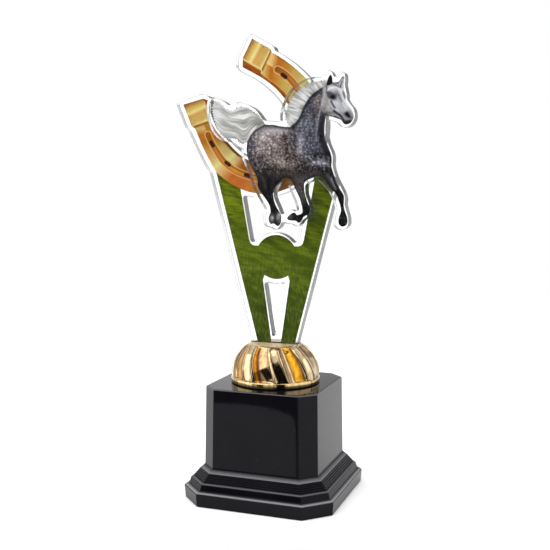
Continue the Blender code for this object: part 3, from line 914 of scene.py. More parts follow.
def strip_corners(side):
    """A grass strip's corners: it spreads upwards, and its slanting top is hidden or under the horseshoe."""
    low = 60.0
    high, inner_high = (146.0, 146.0) if side < 0 else (137.9, 145.0)
    outer = [(9.1 + 0.2618 * (z - 68.0), z) for z in (low, high)]
    inner = [(15.0 + 0.183 * (inner_high - 125.0), inner_high), (13.0, 114.0)]
    fillet = [(12.4, 112.2), (11.4, 111.3), (10.3, 111.0), (8.5, 111.0)]
    gap = [(8.5, 108.0), (5.5, 98.0), (6.35, 95.5), (1.12, low)]
    points = np.array(outer + inner + fillet + gap)
    if side < 0:
        points = points[::-1] * (-1.0, 1.0)
    return points


def dense(points, step):
    """A closed loop of straight runs with points about every step."""
    points = np.array(points, float)
    runs = []
    for start, end in zip(points, np.roll(points, -1, axis=0)):
        count = max(1, round(float(np.linalg.norm(end - start)) / step))
        runs.append(start + (end - start) * (np.arange(count) / count)[:, None])
    return np.vstack(runs)


def shoe_loop():
    """The horseshoe's outline: both heel blocks with straight sides, both arms curved."""
    outer = smooth_line(SHOE_OUTER, OUTLINE_STEP)
    inner = smooth_line(SHOE_INNER[2:-3], OUTLINE_STEP)
    corners = [
        SHOE_HEEL_LEFT[0], SHOE_HEEL_LEFT[3], *outer, SHOE_HEEL_RIGHT[2], SHOE_HEEL_RIGHT[1],
        SHOE_HEEL_RIGHT[0], SHOE_INNER[0], SHOE_INNER[1], *inner, *SHOE_INNER[-3:], SHOE_HEEL_LEFT[1],
    ]
    return dense(corners, OUTLINE_STEP)


def by_angle(points, stops):
    """Colours that follow the horseshoe round, from (degrees, colour) stops."""
    angle = np.degrees(np.arctan2(points[:, 1] - SHOE_CENTRE[1], points[:, 0] - SHOE_CENTRE[0])) % 360
    return stop_colours(np.where(angle < 120, angle + 360, angle), stops)


def across(points, start, end, stops):
    """Colours that change from one line's middle to another's, from (share, colour) stops."""
    start, end = np.array(start), np.array(end)
    share = (points - start) @ (end - start) / ((end - start) @ (end - start))
    return stop_colours(share, stops)


def paint_shoe(points):
    """A polished golden horseshoe with a groove, nail holes and thick inner walls."""
    picture = Picture(points, (200, 130, 50))
    outer_stops = [
        (176, (205, 165, 95)), (181, (215, 182, 112)), (186, (192, 116, 34)), (192, (182, 115, 25)),
        (200, (205, 150, 70)), (208, (218, 172, 100)), (217, (236, 226, 150)), (225, (226, 176, 112)),
        (235, (195, 108, 42)), (246, (202, 112, 48)), (257, (212, 132, 60)), (268, (195, 125, 40)),
        (288, (178, 112, 38)), (310, (188, 122, 48)), (360, (210, 150, 70)), (390, (226, 200, 120)),
        (402, (226, 206, 122)), (409, (216, 190, 110)), (419, (205, 165, 85)), (427, (196, 130, 45)),
        (436, (186, 110, 30)), (442, (228, 192, 122)), (450, (240, 210, 140)),
    ]
    inner_stops = [
        (176, (190, 130, 45)), (189, (184, 108, 24)), (196, (190, 140, 60)), (202, (205, 175, 100)),
        (211, (215, 190, 115)), (221, (236, 226, 150)), (229, (225, 190, 130)), (239, (166, 96, 30)),
        (248, (150, 80, 22)), (258, (192, 112, 40)), (290, (186, 116, 40)), (360, (205, 150, 70)),
        (411, (212, 186, 106)), (423, (202, 170, 82)), (433, (206, 140, 60)), (442, (190, 115, 32)),
        (449, (218, 184, 108)), (456, (225, 190, 120)),
    ]
    groove_left = [
        (-32.9, 160.9), (-31.0, 156.9), (-26.6, 150.4), (-23.3, 147.1), (-19.2, 144.4), (-14.0, 142.4),
        (-10.0, 141.5), (-6.0, 141.2), (0.0, 141.6),
    ]
    groove_right = [(0.5, 188.4), (3.0, 187.0), (6.2, 184.2), (10.2, 179.6), (12.5, 176.0)]
    middle = smooth_line(groove_left + [(7, 143.8), (12.5, 149.0), (15.6, 157.0), (15.5, 168.0)]
                         + groove_right[::-1], 0.5)
    _, _, side = line_distance(points, middle)
    outer, inner = by_angle(points, outer_stops), by_angle(points, inner_stops)
    picture.colours = np.where((side < 0)[:, None], outer, inner)

    # cream light and dark shadow along both sides of the groove, then its floor
    floor_stops = [
        (180, (150, 86, 22)), (190, (152, 88, 24)), (198, (190, 118, 50)), (209, (203, 126, 58)),
        (233, (222, 150, 52)), (246, (214, 138, 56)), (256, (206, 136, 56)), (300, (190, 120, 50)),
        (404, (210, 132, 60)), (412, (204, 128, 56)), (424, (186, 110, 42)), (433, (150, 88, 30)),
        (440, (146, 82, 28)),
    ]
    for groove in (groove_left, groove_right):
        line = smooth_line(groove, 0.3)
        away, _, bank = line_distance(points, line)
        inward = bank if groove is groove_left else -bank
        picture.lay((240, 186, 128), 0.85 * (1 - ease(np.abs(away - 1.55), 0.1, 0.38)))
        cover = 1 - ease(away, 1.15, 1.4)
        picture.colours += (by_angle(points, floor_stops) - picture.colours) * cover[:, None]
        picture.lay((160, 94, 16), cover * 0.9 * ease(away * inward, 0.25, 0.75))
        picture.lay((146, 96, 22), cover * 0.85 * ease(-away * inward, 0.75, 1.05))
    for hole, turn in NAIL_HOLES:
        c, s = math.cos(math.radians(turn)), math.sin(math.radians(turn))
        reach = np.array([c, s]) * 0.95
        picture.stroke([np.array(hole) - reach, np.array(hole) + reach], 1.75, (58, 24, 22), 0.22)

    # heel blocks: bands across, cream edges and the brown step down to the arms
    blocks = (
        (SHOE_HEEL_LEFT, (-40.2, 176.0), (-36.4, 166.2)),
        (SHOE_HEEL_RIGHT, (-13.5, 198.3), (-4.7, 193.2)),
    )
    for corners, start, end in blocks:
        bands = across(points, start, end, [
            (-0.02, (158, 108, 36)), (0.05, (186, 134, 58)), (0.17, (216, 168, 92)), (0.30, (226, 200, 112)),
            (0.41, (242, 230, 150)), (0.49, (232, 196, 120)), (0.55, (216, 160, 86)), (0.72, (212, 170, 92)),
            (0.86, (208, 178, 100)), (0.95, (232, 200, 130)), (1.0, (255, 228, 165)),
        ])
        depth = depth_inside(points, np.array(corners))
        picture.colours += (bands - picture.colours) * ease(depth, -0.15, 0.15)[:, None]
    picture.stroke([(-40.6, 164.2), (-31.6, 166.9)], (0.9, 0.6), (150, 92, 30), 0.35)
    picture.stroke([(-2.2, 197.0), (-4.2, 193.0), (-6.6, 188.4)], (0.6, 0.9), (144, 94, 34), 0.3)

    # inner walls of the thick shoe, in shade
    left_wall = [(-35.3, 177.4), (-32.4, 176.5), (-30.6, 174.0), (-30.8, 170.0), (-31.7, 167.2)]
    arm_wall = [
        (-24.4, 158.9), (-20.0, 154.4), (-15.0, 150.6), (-10.0, 148.4), (-6.3, 147.2), (-6.3, 146.6),
        (-14.0, 148.6), (-18.5, 151.1), (-22.0, 154.2), (-26.2, 158.4),
    ]
    right_wall = [
        (-16.2, 193.5), (-7.2, 188.2), (-6.5, 186.2), (-3.0, 183.6), (0.0, 181.7), (4.0, 178.0),
        (6.7, 174.3), (8.2, 171.0), (6.4, 170.5), (4.0, 174.0), (0.0, 179.0), (-5.0, 183.5),
        (-15.0, 189.2), (-16.2, 190.0),
    ]
    for wall, colour in ((left_wall, (158, 86, 26)), (arm_wall, (122, 70, 20)), (right_wall, (160, 84, 20))):
        picture.corner_area(wall, colour, 0.22)
    picture.stroke([(-34.6, 175.8), (-33.2, 171.5), (-32.0, 167.9)], (0.5, 0.7), (250, 208, 132), 0.3, 0.9)
    picture.stroke([(-12.0, 189.7), (-15.6, 191.7)], 1.6, (150, 74, 20), 0.8, 0.5)
    picture.stroke([(-15.6, 193.9), (-11.0, 191.2), (-7.2, 189.0), (-6.9, 187.0)], 0.5,
                   (255, 222, 158), 0.25, 0.9)
    picture.stroke([(-6.6, 186.9), (-3.0, 184.1), (0.2, 182.1), (4.2, 178.4)], 0.35,
                   (226, 160, 84), 0.25, 0.8)
    shade_noise = noise(points[:, 0] * 0.5, points[:, 1] * 0.5, 3) - 0.5
    picture.shade(10 * shade_noise)
    return picture.colours


def make_back_prints():
    """The grass and the horseshoe on the back face of the back plate."""
    turns = np.linspace(0, 2 * math.pi, 97)[:-1]
    disc = [(DISC_RADIUS * math.cos(a), DISC_HEIGHT + DISC_RADIUS * math.sin(a)) for a in turns]
    shoe = shoe_loop()
    grass = [dense(strip_corners(side), 1.0) for side in (-1, 1)] + [np.array(disc)]
    places, triangles = filled_sheet(grass, None, [shoe])
    make_print("grass_print", places, triangles, BACK_PRINT_Y, grass_ink())
    places, triangles = filled_sheet([shoe], PICTURE_STEP)
    make_print("horseshoe_print", places, triangles, BACK_PRINT_Y, picture_ink("horseshoe_ink"),
               paint_shoe(places))


# Horse print, in mm across and up

HORSE_BACK = [(-3.3, 164.3), (-1.5, 164.1), (1.0, 164.0), (4.0, 163.3), (8.3, 162.9)]
HORSE_MANE = [
    (8.3, 162.9), (6.4, 166.0), (6.3, 169.5), (7.6, 173.0), (9.8, 176.3), (12.8, 179.2), (16.0, 181.0),
    (20.0, 182.0), (24.4, 182.2), (24.6, 180.6),
]
HORSE_EARS = [
    (24.6, 180.6), (24.8, 181.5), (25.2, 182.8), (25.7, 183.7), (26.3, 184.3), (26.8, 183.9),
    (27.1, 182.8), (27.2, 181.6), (27.5, 181.2), (28.6, 181.1), (30.0, 181.4), (31.2, 182.9),
    (32.1, 183.5), (32.4, 182.3), (32.1, 180.6), (32.1, 179.5),
]
HORSE_FACE = [
    (32.1, 179.5), (32.2, 178.0), (32.7, 176.5), (33.05, 175.0), (32.9, 173.6), (33.4, 172.2),
    (34.4, 171.0), (35.4, 169.8), (36.1, 168.7), (36.5, 167.3), (36.5, 166.0), (36.0, 164.8),
    (35.2, 163.9), (34.2, 163.4), (33.2, 163.3), (32.4, 163.6), (31.8, 164.2), (31.3, 165.0),
    (30.5, 165.5), (29.0, 166.0), (27.5, 166.6), (26.0, 166.9), (24.8, 167.0), (24.3, 166.6),
]
HORSE_CHEST = [
    (24.1, 165.5), (23.85, 163.5), (23.75, 161.0), (23.9, 159.0), (24.3, 157.0), (25.0, 155.2),
    (26.0, 152.8), (26.9, 150.3), (27.1, 148.0), (26.9, 146.0), (27.3, 144.5), (28.0, 142.5),
    (28.7, 140.5), (29.5, 138.5), (30.5, 136.6), (31.6, 135.0), (32.3, 133.9), (32.6, 132.7),
    (32.6, 131.0), (32.5, 129.5), (32.8, 127.6), (33.4, 125.8), (34.0, 124.2), (34.25, 122.7),
    (34.0, 121.4), (33.3, 120.6), (32.2, 120.2), (31.1, 120.5), (30.4, 121.3), (30.2, 122.8),
    (30.5, 124.4), (31.0, 125.7), (31.25, 127.0), (31.1, 128.6), (30.7, 130.0), (30.2, 131.2),
    (29.7, 132.7), (29.1, 133.9), (28.6, 134.7), (28.0, 135.1), (27.0, 136.0), (26.0, 137.4),
    (25.0, 138.9), (24.0, 140.2), (22.8, 141.3), (21.2, 141.7), (19.8, 141.5), (18.3, 140.9),
    (16.8, 140.3), (15.6, 139.8), (14.9, 138.9), (14.7, 137.8),
]
HORSE_BENT_LEG = [
    (14.8, 136.0), (15.1, 134.0), (15.7, 132.0), (16.4, 130.2), (17.0, 128.8), (17.35, 127.5),
    (17.2, 126.1), (16.6, 125.3), (15.4, 124.7), (14.4, 124.0), (13.7, 122.8), (13.1, 121.9),
    (12.4, 121.6), (11.7, 121.8), (11.2, 122.3), (10.2, 122.5), (8.6, 122.6), (7.4, 122.9),
    (7.0, 123.5), (7.4, 124.3), (8.4, 125.2), (9.5, 125.9), (10.5, 126.0), (11.0, 125.5),
    (11.4, 125.0), (12.2, 125.1), (13.2, 125.4), (13.9, 125.9), (14.1, 126.9), (13.8, 128.4),
    (13.4, 130.0), (12.8, 132.0), (12.0, 133.7), (11.1, 135.5), (10.3, 137.2),
]
HORSE_BELLY = [
    (9.9, 138.2), (9.6, 139.2), (8.9, 140.3), (7.5, 141.0), (6.0, 141.1), (4.9, 140.7), (4.1, 139.8),
    (2.8, 138.7), (1.7, 137.6), (0.9, 136.2), (0.5, 134.8),
]
HORSE_HIND_LEGS = [
    (0.5, 133.5), (0.8, 131.8), (1.3, 130.0), (2.1, 128.3), (3.0, 126.9), (3.6, 125.9), (4.2, 124.8),
    (4.2, 123.2), (4.2, 122.0), (3.7, 120.8), (3.0, 120.1), (2.2, 120.2), (1.3, 120.8), (0.5, 121.2),
    (-0.3, 120.9), (-1.0, 121.3), (-1.5, 122.3), (-1.65, 123.6), (-1.2, 125.0), (-0.75, 126.0),
    (-0.9, 127.6), (-1.2, 129.0), (-2.1, 130.6), (-3.4, 132.4), (-4.8, 134.2), (-6.0, 136.0),
    (-6.8, 137.8), (-6.75, 139.4), (-7.2, 141.2), (-8.2, 143.4), (-9.5, 145.8), (-10.6, 148.0),
    (-11.4, 150.0), (-11.9, 152.4), (-11.95, 154.5), (-11.7, 156.6),
]
HORSE_TAIL = [
    (-11.7, 156.9), (-12.8, 156.4), (-14.0, 156.0), (-15.4, 156.6), (-17.0, 158.0), (-19.5, 158.5),
    (-22.0, 158.9), (-23.8, 160.0), (-25.0, 161.6), (-26.4, 163.4), (-27.5, 166.5), (-28.2, 170.0),
    (-28.2, 173.2), (-27.3, 175.0), (-25.4, 174.8), (-23.5, 173.6), (-21.6, 171.8), (-19.0, 171.0),
    (-16.8, 171.8), (-14.8, 172.5), (-12.3, 172.1), (-9.6, 170.9), (-7.0, 169.0), (-5.0, 167.0),
    (-3.8, 165.4),
]
HORSE_CREST = [
    (8.5, 163.0), (9.5, 164.0), (11.0, 165.0), (12.0, 166.3), (13.0, 168.0), (13.8, 170.0),
    (14.8, 172.0), (16.0, 173.8), (17.2, 175.3), (18.5, 176.7), (20.0, 177.6), (21.5, 178.5),
    (23.0, 179.3), (24.5, 179.8),
]
HORSE_RUMP = [
    (-11.7, 156.6), (-11.0, 158.0), (-9.5, 160.5), (-7.0, 162.5), (-4.0, 164.0), (-3.3, 164.3),
]
HORSE_HEAD = [
    (24.5, 179.9), (27.4, 181.3), (30.1, 181.4), (32.1, 179.5), (33.0, 175.0), (33.2, 172.6), (36.2, 168.9),
    (36.8, 166.0), (34.4, 163.0), (31.8, 163.8), (30.4, 165.2), (26.0, 166.6), (24.3, 166.6),
    (23.4, 168.4), (22.5, 170.2), (22.8, 173.2), (23.8, 176.4),
]


def ragged(line, size, seed):
    """A smooth line drawn out into pointed tufts of differing length, like the ends of hairs."""
    smooth = smooth_line(line, 0.15)
    ahead = np.gradient(smooth, axis=0)
    outward = np.column_stack([-ahead[:, 1], ahead[:, 0]]) / np.linalg.norm(ahead, axis=1, keepdims=True)
    along = np.cumsum(np.hypot(*ahead.T))
    flat = np.zeros(len(along))
    tuft = along / 1.15 + 0.9 * noise(along * 0.8, flat + 5.5, seed)
    point = np.abs(2 * (tuft % 1.0) - 1) ** 1.6
    reach = (0.3 + 0.7 * noise(along * 0.9, flat + 9.5, seed)) * point - 0.3
    fade = ease(along, 0.0, 2.0) * ease(along[-1] - along, 0.0, 2.0)
    return smooth + outward * (size * reach * fade)[:, None]


def horse_loop():
    """The horse's outline, once round it clockwise."""
    front_and_legs = HORSE_FACE + HORSE_CHEST + HORSE_BENT_LEG + HORSE_BELLY + HORSE_HIND_LEGS
    return np.vstack([
        smooth_line(HORSE_BACK, OUTLINE_STEP)[:-1],
        ragged(HORSE_MANE, 1.7, 11)[:-1],
        smooth_line(HORSE_EARS, OUTLINE_STEP)[:-1],
        smooth_line(front_and_legs, OUTLINE_STEP)[:-1],
        ragged(HORSE_TAIL, 1.4, 12)[:-1],
    ])


def hair(points, angle, length, width, seed):
    """Noise drawn out along the hair, which lies at an angle that may change from point to point."""
    c, s = np.cos(np.radians(angle)), np.sin(np.radians(angle))
    x, z = points.T
    return noise((c * x + s * z) / length + 40, (c * z - s * x) / width + 40, seed) - 0.5


def paint_coat(picture):
    """The dapple-grey body: dark ground, soft lights and shades, then dapples and fine hair."""
    points = picture.points
    x, z = points.T
    for centre, radii, colour, strength, turn in [
        ((1.0, 152.0), (10.0, 7.5), (96, 88, 84), 0.95, 0),
        ((-1.5, 156.8), (6.5, 3.6), (120, 110, 108), 0.75, -10),
        ((0.5, 161.8), (8.5, 1.9), (170, 161, 166), 1.0, -4),
        ((-4.2, 158.9), (2.2, 1.9), (176, 166, 168), 0.8, 30),
        ((-5.9, 155.0), (1.8, 4.2), (142, 132, 134), 0.75, 0),
        ((-9.6, 154.5), (1.7, 5.5), (84, 82, 92), 0.85, 0),
        ((-7.8, 161.2), (2.6, 1.4), (92, 90, 94), 0.8, 32),
        ((9.3, 157.6), (2.6, 3.2), (66, 64, 70), 0.75, 0),
        ((13.2, 158.0), (2.8, 5.2), (122, 122, 132), 0.9, 0),
        ((12.7, 152.6), (1.3, 1.6), (150, 150, 160), 0.7, 0),
        ((17.4, 153.0), (3.2, 6.5), (72, 76, 86), 0.85, 0),
        ((21.0, 152.5), (2.6, 5.5), (48, 48, 54), 0.85, 0),
        ((24.6, 150.0), (2.2, 4.5), (40, 40, 44), 0.8, 0),
        ((21.6, 147.3), (3.6, 1.3), (122, 122, 134), 0.85, 0),
        ((4.8, 147.6), (5.6, 1.6), (126, 119, 114), 0.75, -28),
        ((9.8, 147.0), (2.4, 3.0), (112, 102, 98), 0.65, 0),
        ((-5.6, 145.6), (2.8, 4.6), (58, 52, 54), 0.85, 20),
        ((-2.6, 142.0), (2.6, 4.2), (38, 35, 33), 0.9, 10),
        ((-0.7, 143.7), (1.5, 1.0), (104, 88, 64), 0.75, 0),
        ((4.0, 143.6), (6.5, 1.6), (54, 48, 46), 0.8, -4),
        ((14.5, 145.5), (4.0, 2.6), (52, 46, 46), 0.8, 0),
        ((23.5, 143.4), (4.2, 1.8), (42, 38, 40), 0.85, 0),
    ]:
        picture.spot(centre, radii, colour, strength, turn)
    picture.stroke([(5.6, 160.2), (6.5, 156.0), (6.9, 152.0), (7.2, 148.5)], (1.0, 1.6),
                   (50, 43, 41), 1.1, 0.75)
    picture.stroke([(10.2, 161.0), (10.6, 156.0), (10.4, 151.0), (12.2, 146.0)], 1.0, (54, 48, 48), 0.9, 0.6)
    picture.stroke([(-7.6, 149.6), (-6.3, 146.4), (-5.0, 143.4)], (1.1, 0.7), (112, 106, 114), 0.7, 0.8)

    lift = 1.0 + 0.40 * ease(z, 142.0, 148.0) * (1 - ease(z, 160.0, 163.0))
    picture.colours *= lift[:, None]
    bent_x = x + 1.5 * (noise(x / 1.9, z / 1.9, 25) - 0.5)
    bent_z = z + 1.5 * (noise(x / 1.9 + 20, z / 1.9 + 20, 26) - 0.5)
    dapple = spots(bent_x / 1.65 + 3, bent_z / 1.45 + 5, 21)
    small = spots(bent_x / 0.95 + 9, bent_z / 0.8 + 2, 22)
    patch = noise(x / 2.6 + 7, z / 2.6 + 1, 23)
    where = ease(z, 141.0, 146.0) * (1 - 0.7 * ease(z, 160.0, 162.0) * (1 - ease(x, 6.0, 9.0)))
    picture.shade(where * (96 * (dapple - 0.34) * (0.5 + patch) + 66 * (small - 0.36) * (1.4 - patch)))
    picture.shade(34 * (patch - 0.5) * where)
    picture.shade(56 * hair(points, -62 + 2.0 * x, 1.3, 0.34, 24) * ease(z, 138.0, 144.0))


def paint_legs(picture):
    """Near-black legs with a few lights on forearms, knees and hooves."""
    points = picture.points
    x, z = points.T
    hind = (1 - ease(z, 138.0, 144.0)) * (1 - ease(x, 5.0, 8.0))
    picture.lay((27, 26, 30), hind)
    fore = (1 - ease(z, 138.5, 142.0)) * ease(x, 8.0, 10.0)
    picture.lay((62, 57, 60), fore * (1 - ease(x, 17.0, 20.0)))
    picture.lay((44, 42, 46), fore * ease(x, 17.0, 20.0))
    picture.lay((88, 80, 78), fore * ease(z, 129.5, 134.0) * (1 - ease(x, 14.5, 17.0)))
    mottle = 110 * (spots(x / 1.0, z / 0.8, 31) - 0.36) + 60 * (noise(x / 0.5, z / 0.7, 32) - 0.5)
    picture.shade(mottle * ease(z, 129.5, 134.0) * fore)
    picture.lay((24, 24, 28), (1 - ease(z, 128.0, 132.5)) * ease(x, 8.0, 10.0))
    picture.lay((27, 27, 32), (1 - ease(z, 132.0, 136.5)) * ease(x, 22.0, 24.0))
    picture.stroke([(12.5, 140.5), (12.2, 137.5), (13.0, 134.0), (14.4, 130.0)], (1.9, 0.9),
                   (84, 78, 80), 0.8, 0.6)
    picture.stroke([(9.9, 138.4), (11.4, 135.2), (13.2, 131.4)], 0.5, (34, 31, 31), 0.5, 0.8)
    picture.stroke([(14.8, 138.5), (15.1, 134.5), (16.6, 129.6)], 0.7, (26, 25, 29), 0.5, 0.85)
    picture.stroke([(25.2, 142.4), (26.6, 139.2), (28.6, 135.8)], (1.6, 1.0), (82, 79, 84), 0.6, 0.75)
    picture.stroke([(26.9, 140.6), (27.9, 138.4), (29.0, 136.2)], (0.8, 0.5), (158, 156, 168), 0.45, 0.9)
    picture.stroke([(28.6, 140.6), (30.4, 136.6), (31.4, 134.8)], 0.7, (52, 56, 62), 0.4, 0.7)
    picture.stroke([(31.3, 133.6), (31.7, 130.0), (32.2, 126.0)], 0.4, (52, 54, 58), 0.4, 0.45)
    picture.spot((31.1, 124.1), (0.8, 0.7), (74, 76, 78), 0.8)
    picture.spot((33.0, 122.3), (0.9, 1.0), (44, 45, 48), 0.8)
    picture.spot((8.9, 124.2), (1.5, 0.8), (92, 94, 98), 0.75, 10)
    picture.spot((11.6, 123.4), (0.9, 0.5), (52, 54, 58), 0.7)
    picture.spot((-0.4, 123.2), (1.5, 2.2), (118, 116, 112), 0.95)
    picture.spot((0.1, 123.6), (0.6, 0.9), (206, 200, 194), 0.95)
    picture.spot((-0.9, 122.4), (0.5, 0.6), (60, 58, 56), 0.7)
    picture.spot((2.9, 123.9), (1.3, 1.7), (150, 150, 148), 0.95)
    picture.spot((3.4, 125.1), (0.7, 0.6), (196, 196, 194), 0.8)
    picture.spot((2.4, 121.0), (0.9, 0.7), (50, 47, 44), 0.9)
    picture.spot((3.5, 122.0), (0.6, 0.5), (176, 174, 172), 0.6)
    picture.stroke([(1.7, 125.9), (1.5, 123.5), (1.3, 121.4)], 0.4, (40, 38, 38), 0.3, 0.85)
    picture.stroke([(-4.4, 141.2), (-3.6, 139.0), (-3.0, 136.8)], 1.0, (78, 66, 52), 0.9, 0.8)
    picture.stroke([(-1.4, 141.5), (-1.8, 137.0), (-1.2, 133.4)], 0.8, (12, 14, 20), 0.6, 0.9)
    picture.stroke([(0.6, 140.0), (-0.2, 136.0), (0.2, 131.0)], 0.9, (48, 54, 66), 0.6, 0.7)


def paint_neck(picture):
    """Dark blue-grey neck with a light edge behind the cheek and a black throat."""
    x, z = picture.points.T
    neck = [
        (8.5, 163.0), (12.0, 166.3), (13.8, 170.0), (16.0, 173.8), (20.0, 177.6), (24.5, 180.2),
        (24.2, 176.0), (23.0, 171.0), (24.6, 167.0), (24.4, 160.0), (25.6, 154.0), (19.0, 152.0),
        (15.5, 158.5), (11.0, 161.0),
    ]
    picture.area(neck, (58, 58, 65), 1.6)
    picture.spot((15.5, 164.0), (3.2, 3.4), (84, 86, 96), 0.7)
    picture.spot((20.4, 173.4), (1.8, 3.4), (110, 95, 94), 0.8, -12)
    picture.spot((19.0, 168.0), (2.0, 3.0), (62, 58, 62), 0.6)
    inside = ease(depth_inside(picture.points, smooth_line(neck, 0.5, closed=True)), -0.5, 1.0)
    picture.colours *= (1 + 0.42 * inside)[:, None]
    mottle = spots(x / 1.5 + 2 + 0.8 * noise(x / 2, z / 2, 43), z / 1.3 + 8, 41)
    picture.shade(inside * (70 * (mottle - 0.3) + 48 * hair(picture.points, 58, 1.4, 0.36, 42)))
    picture.stroke([(9.4, 162.6), (11.6, 164.6), (13.6, 168.0), (14.6, 170.4), (16.8, 174.0), (20.4, 177.2),
                    (24.0, 179.4)], 1.1, (40, 41, 46), 0.7, 0.9)
    picture.stroke([(23.4, 168.6), (22.8, 165.0), (22.3, 160.0), (23.2, 155.6), (25.2, 151.0)], (2.0, 2.2),
                   (33, 33, 38), 0.8, 0.92)
    picture.stroke([(23.7, 179.0), (23.4, 175.5), (22.4, 171.6)], (1.5, 0.8), (205, 198, 194), 0.5, 0.85)
    picture.stroke([(22.4, 171.6), (21.4, 168.0), (20.6, 164.0), (20.2, 160.0), (20.1, 156.5)], (0.8, 0.3),
                   (160, 160, 168), 0.45, 0.8)


def paint_head(picture):
    """The horse's face in side view, light grey with a dark eye, mouth and muzzle."""
    picture.area(HORSE_HEAD, (198, 196, 201), 0.3)
    for centre, radii, colour, strength, turn in [
        ((24.5, 172.4), (1.5, 4.0), (146, 137, 133), 0.9, -4),
        ((26.1, 170.6), (1.2, 2.6), (178, 176, 180), 0.7, 0),
        ((23.4, 170.0), (0.9, 1.2), (98, 90, 84), 0.8, 0),
        ((26.4, 168.2), (2.8, 1.1), (112, 109, 108), 0.9, -8),
        ((24.2, 167.8), (1.0, 0.9), (44, 42, 46), 0.9, 0),
        ((29.4, 172.6), (2.2, 2.0), (214, 213, 222), 0.8, 0),
        ((31.0, 169.8), (2.2, 1.6), (184, 185, 194), 0.8, -35),
        ((33.0, 170.6), (1.6, 1.6), (222, 222, 228), 0.8, 0),
        ((29.4, 175.8), (1.6, 1.5), (176, 175, 182), 0.8, 0),
        ((28.6, 174.0), (1.8, 0.9), (160, 160, 170), 0.7, -10),
        ((31.4, 178.2), (1.4, 1.0), (222, 222, 226), 0.7, 0),
        ((28.4, 180.3), (2.2, 0.7), (128, 128, 130), 0.75, 0),
        ((31.4, 167.6), (1.4, 1.2), (120, 121, 126), 0.7, -30),
        ((34.7, 167.6), (1.6, 1.5), (128, 128, 132), 0.75, 0),
        ((33.8, 164.6), (2.4, 1.1), (58, 58, 62), 0.95, 5),
        ((35.6, 165.8), (0.8, 1.0), (96, 96, 100), 0.7, 0),
    ]:
        picture.spot(centre, radii, colour, strength, turn)
    picture.stroke([(25.0, 177.9), (26.6, 178.8), (28.6, 178.9), (30.4, 178.0), (31.4, 176.6)], (1.0, 0.7),
                   (238, 238, 242), 0.4, 0.9)
    picture.area([(24.2, 177.2), (25.5, 177.5), (27.4, 176.9), (29.0, 175.9), (28.9, 174.4), (27.6, 173.7),
                  (26.3, 174.2), (25.0, 175.2)], (84, 82, 90), 0.6, 0.9)
    picture.spot((27.3, 175.0), (1.3, 0.75), (6, 6, 10), 1.0, -8)
    picture.stroke([(25.9, 176.3), (27.0, 176.2), (28.2, 175.6)], 0.28, (52, 50, 56), 0.25, 0.8)
    picture.spot((28.8, 176.9), (0.8, 0.5), (120, 120, 126), 0.7, -20)
    for line, width, colour, strength in [
        ([(24.5, 180.0), (24.7, 179.0), (24.6, 177.9)], 0.55, (84, 84, 88), 0.85),
        ([(29.4, 176.4), (30.2, 175.0), (31.2, 173.0)], 0.8, (120, 120, 130), 0.85),
        ([(30.9, 176.6), (31.9, 174.4), (33.4, 171.9), (35.0, 169.9)], 0.45, (248, 248, 250), 0.95),
        ([(31.9, 176.9), (32.4, 175.2), (33.2, 173.4)], 0.5, (80, 80, 86), 0.9),
        ([(27.4, 180.6), (29.0, 179.8), (31.6, 178.9)], 0.45, (74, 74, 78), 0.85),
        ([(28.4, 181.0), (29.8, 180.5), (30.8, 180.6)], 0.3, (60, 60, 64), 0.8),
        ([(28.8, 180.1), (30.2, 179.4), (31.4, 178.0)], 0.25, (226, 226, 230), 0.8),
        ([(30.3, 173.9), (31.2, 171.6), (32.4, 169.8)], 0.4, (150, 152, 162), 0.75),
        ([(26.6, 173.2), (27.3, 172.0), (28.3, 170.4)], 0.7, (58, 58, 64), 0.95),
        ([(26.2, 170.4), (27.2, 169.9)], 0.5, (110, 110, 114), 0.7),
        ([(27.9, 169.2), (29.4, 168.0), (30.9, 166.9), (32.2, 165.3)], 0.9, (34, 34, 38), 0.95),
        ([(28.3, 166.9), (30.0, 166.0), (31.2, 165.2)], 0.8, (62, 62, 66), 0.85),
        ([(24.6, 167.2), (27.0, 166.9), (28.6, 166.5)], 0.5, (48, 46, 50), 0.85),
        ([(28.6, 169.9), (30.2, 168.8), (31.6, 167.6)], 0.3, (224, 224, 228), 0.7),
        ([(32.9, 165.5), (33.8, 165.3), (34.8, 165.5)], 0.28, (168, 168, 172), 0.85),
        ([(33.2, 172.0), (34.6, 170.4), (35.8, 168.9)], 0.6, (214, 214, 220), 0.6),
        ([(27.6, 180.3), (29.6, 179.4), (30.9, 178.4)], 0.3, (92, 92, 96), 0.6),
    ]:
        picture.stroke(line, width, colour, 0.28, strength)
    picture.spot((33.5, 167.7), (1.0, 0.85), (6, 6, 10), 1.0)
    picture.spot((34.2, 166.9), (1.15, 0.75), (6, 6, 10), 1.0, -42)
    picture.stroke([(32.0, 164.4), (33.4, 164.0), (35.2, 164.4)], 1.2, (30, 30, 34), 0.4, 0.9)
    picture.stroke([(32.6, 165.9), (34.0, 165.5), (35.4, 165.6)], 0.5, (150, 150, 154), 0.3, 0.7)
    picture.area([(24.5, 180.0), (24.9, 182.0), (25.7, 183.7), (26.4, 184.5), (27.0, 183.4), (27.2, 181.4),
                  (26.8, 180.3)], (27, 27, 30), 0.25)
    picture.area([(29.6, 181.0), (31.0, 182.9), (32.3, 183.8), (32.6, 181.8), (32.3, 179.4), (31.2, 178.6),
                  (30.6, 179.8)], (206, 206, 208), 0.25)
    picture.stroke([(29.6, 180.9), (31.0, 182.4), (31.9, 183.1)], 0.5, (78, 78, 82), 0.25, 0.9)
    picture.stroke([(31.4, 181.4), (30.9, 179.9), (30.8, 178.9)], 0.45, (70, 70, 74), 0.25, 0.9)
    picture.shade(26 * hair(picture.points, -50, 0.9, 0.3, 51))


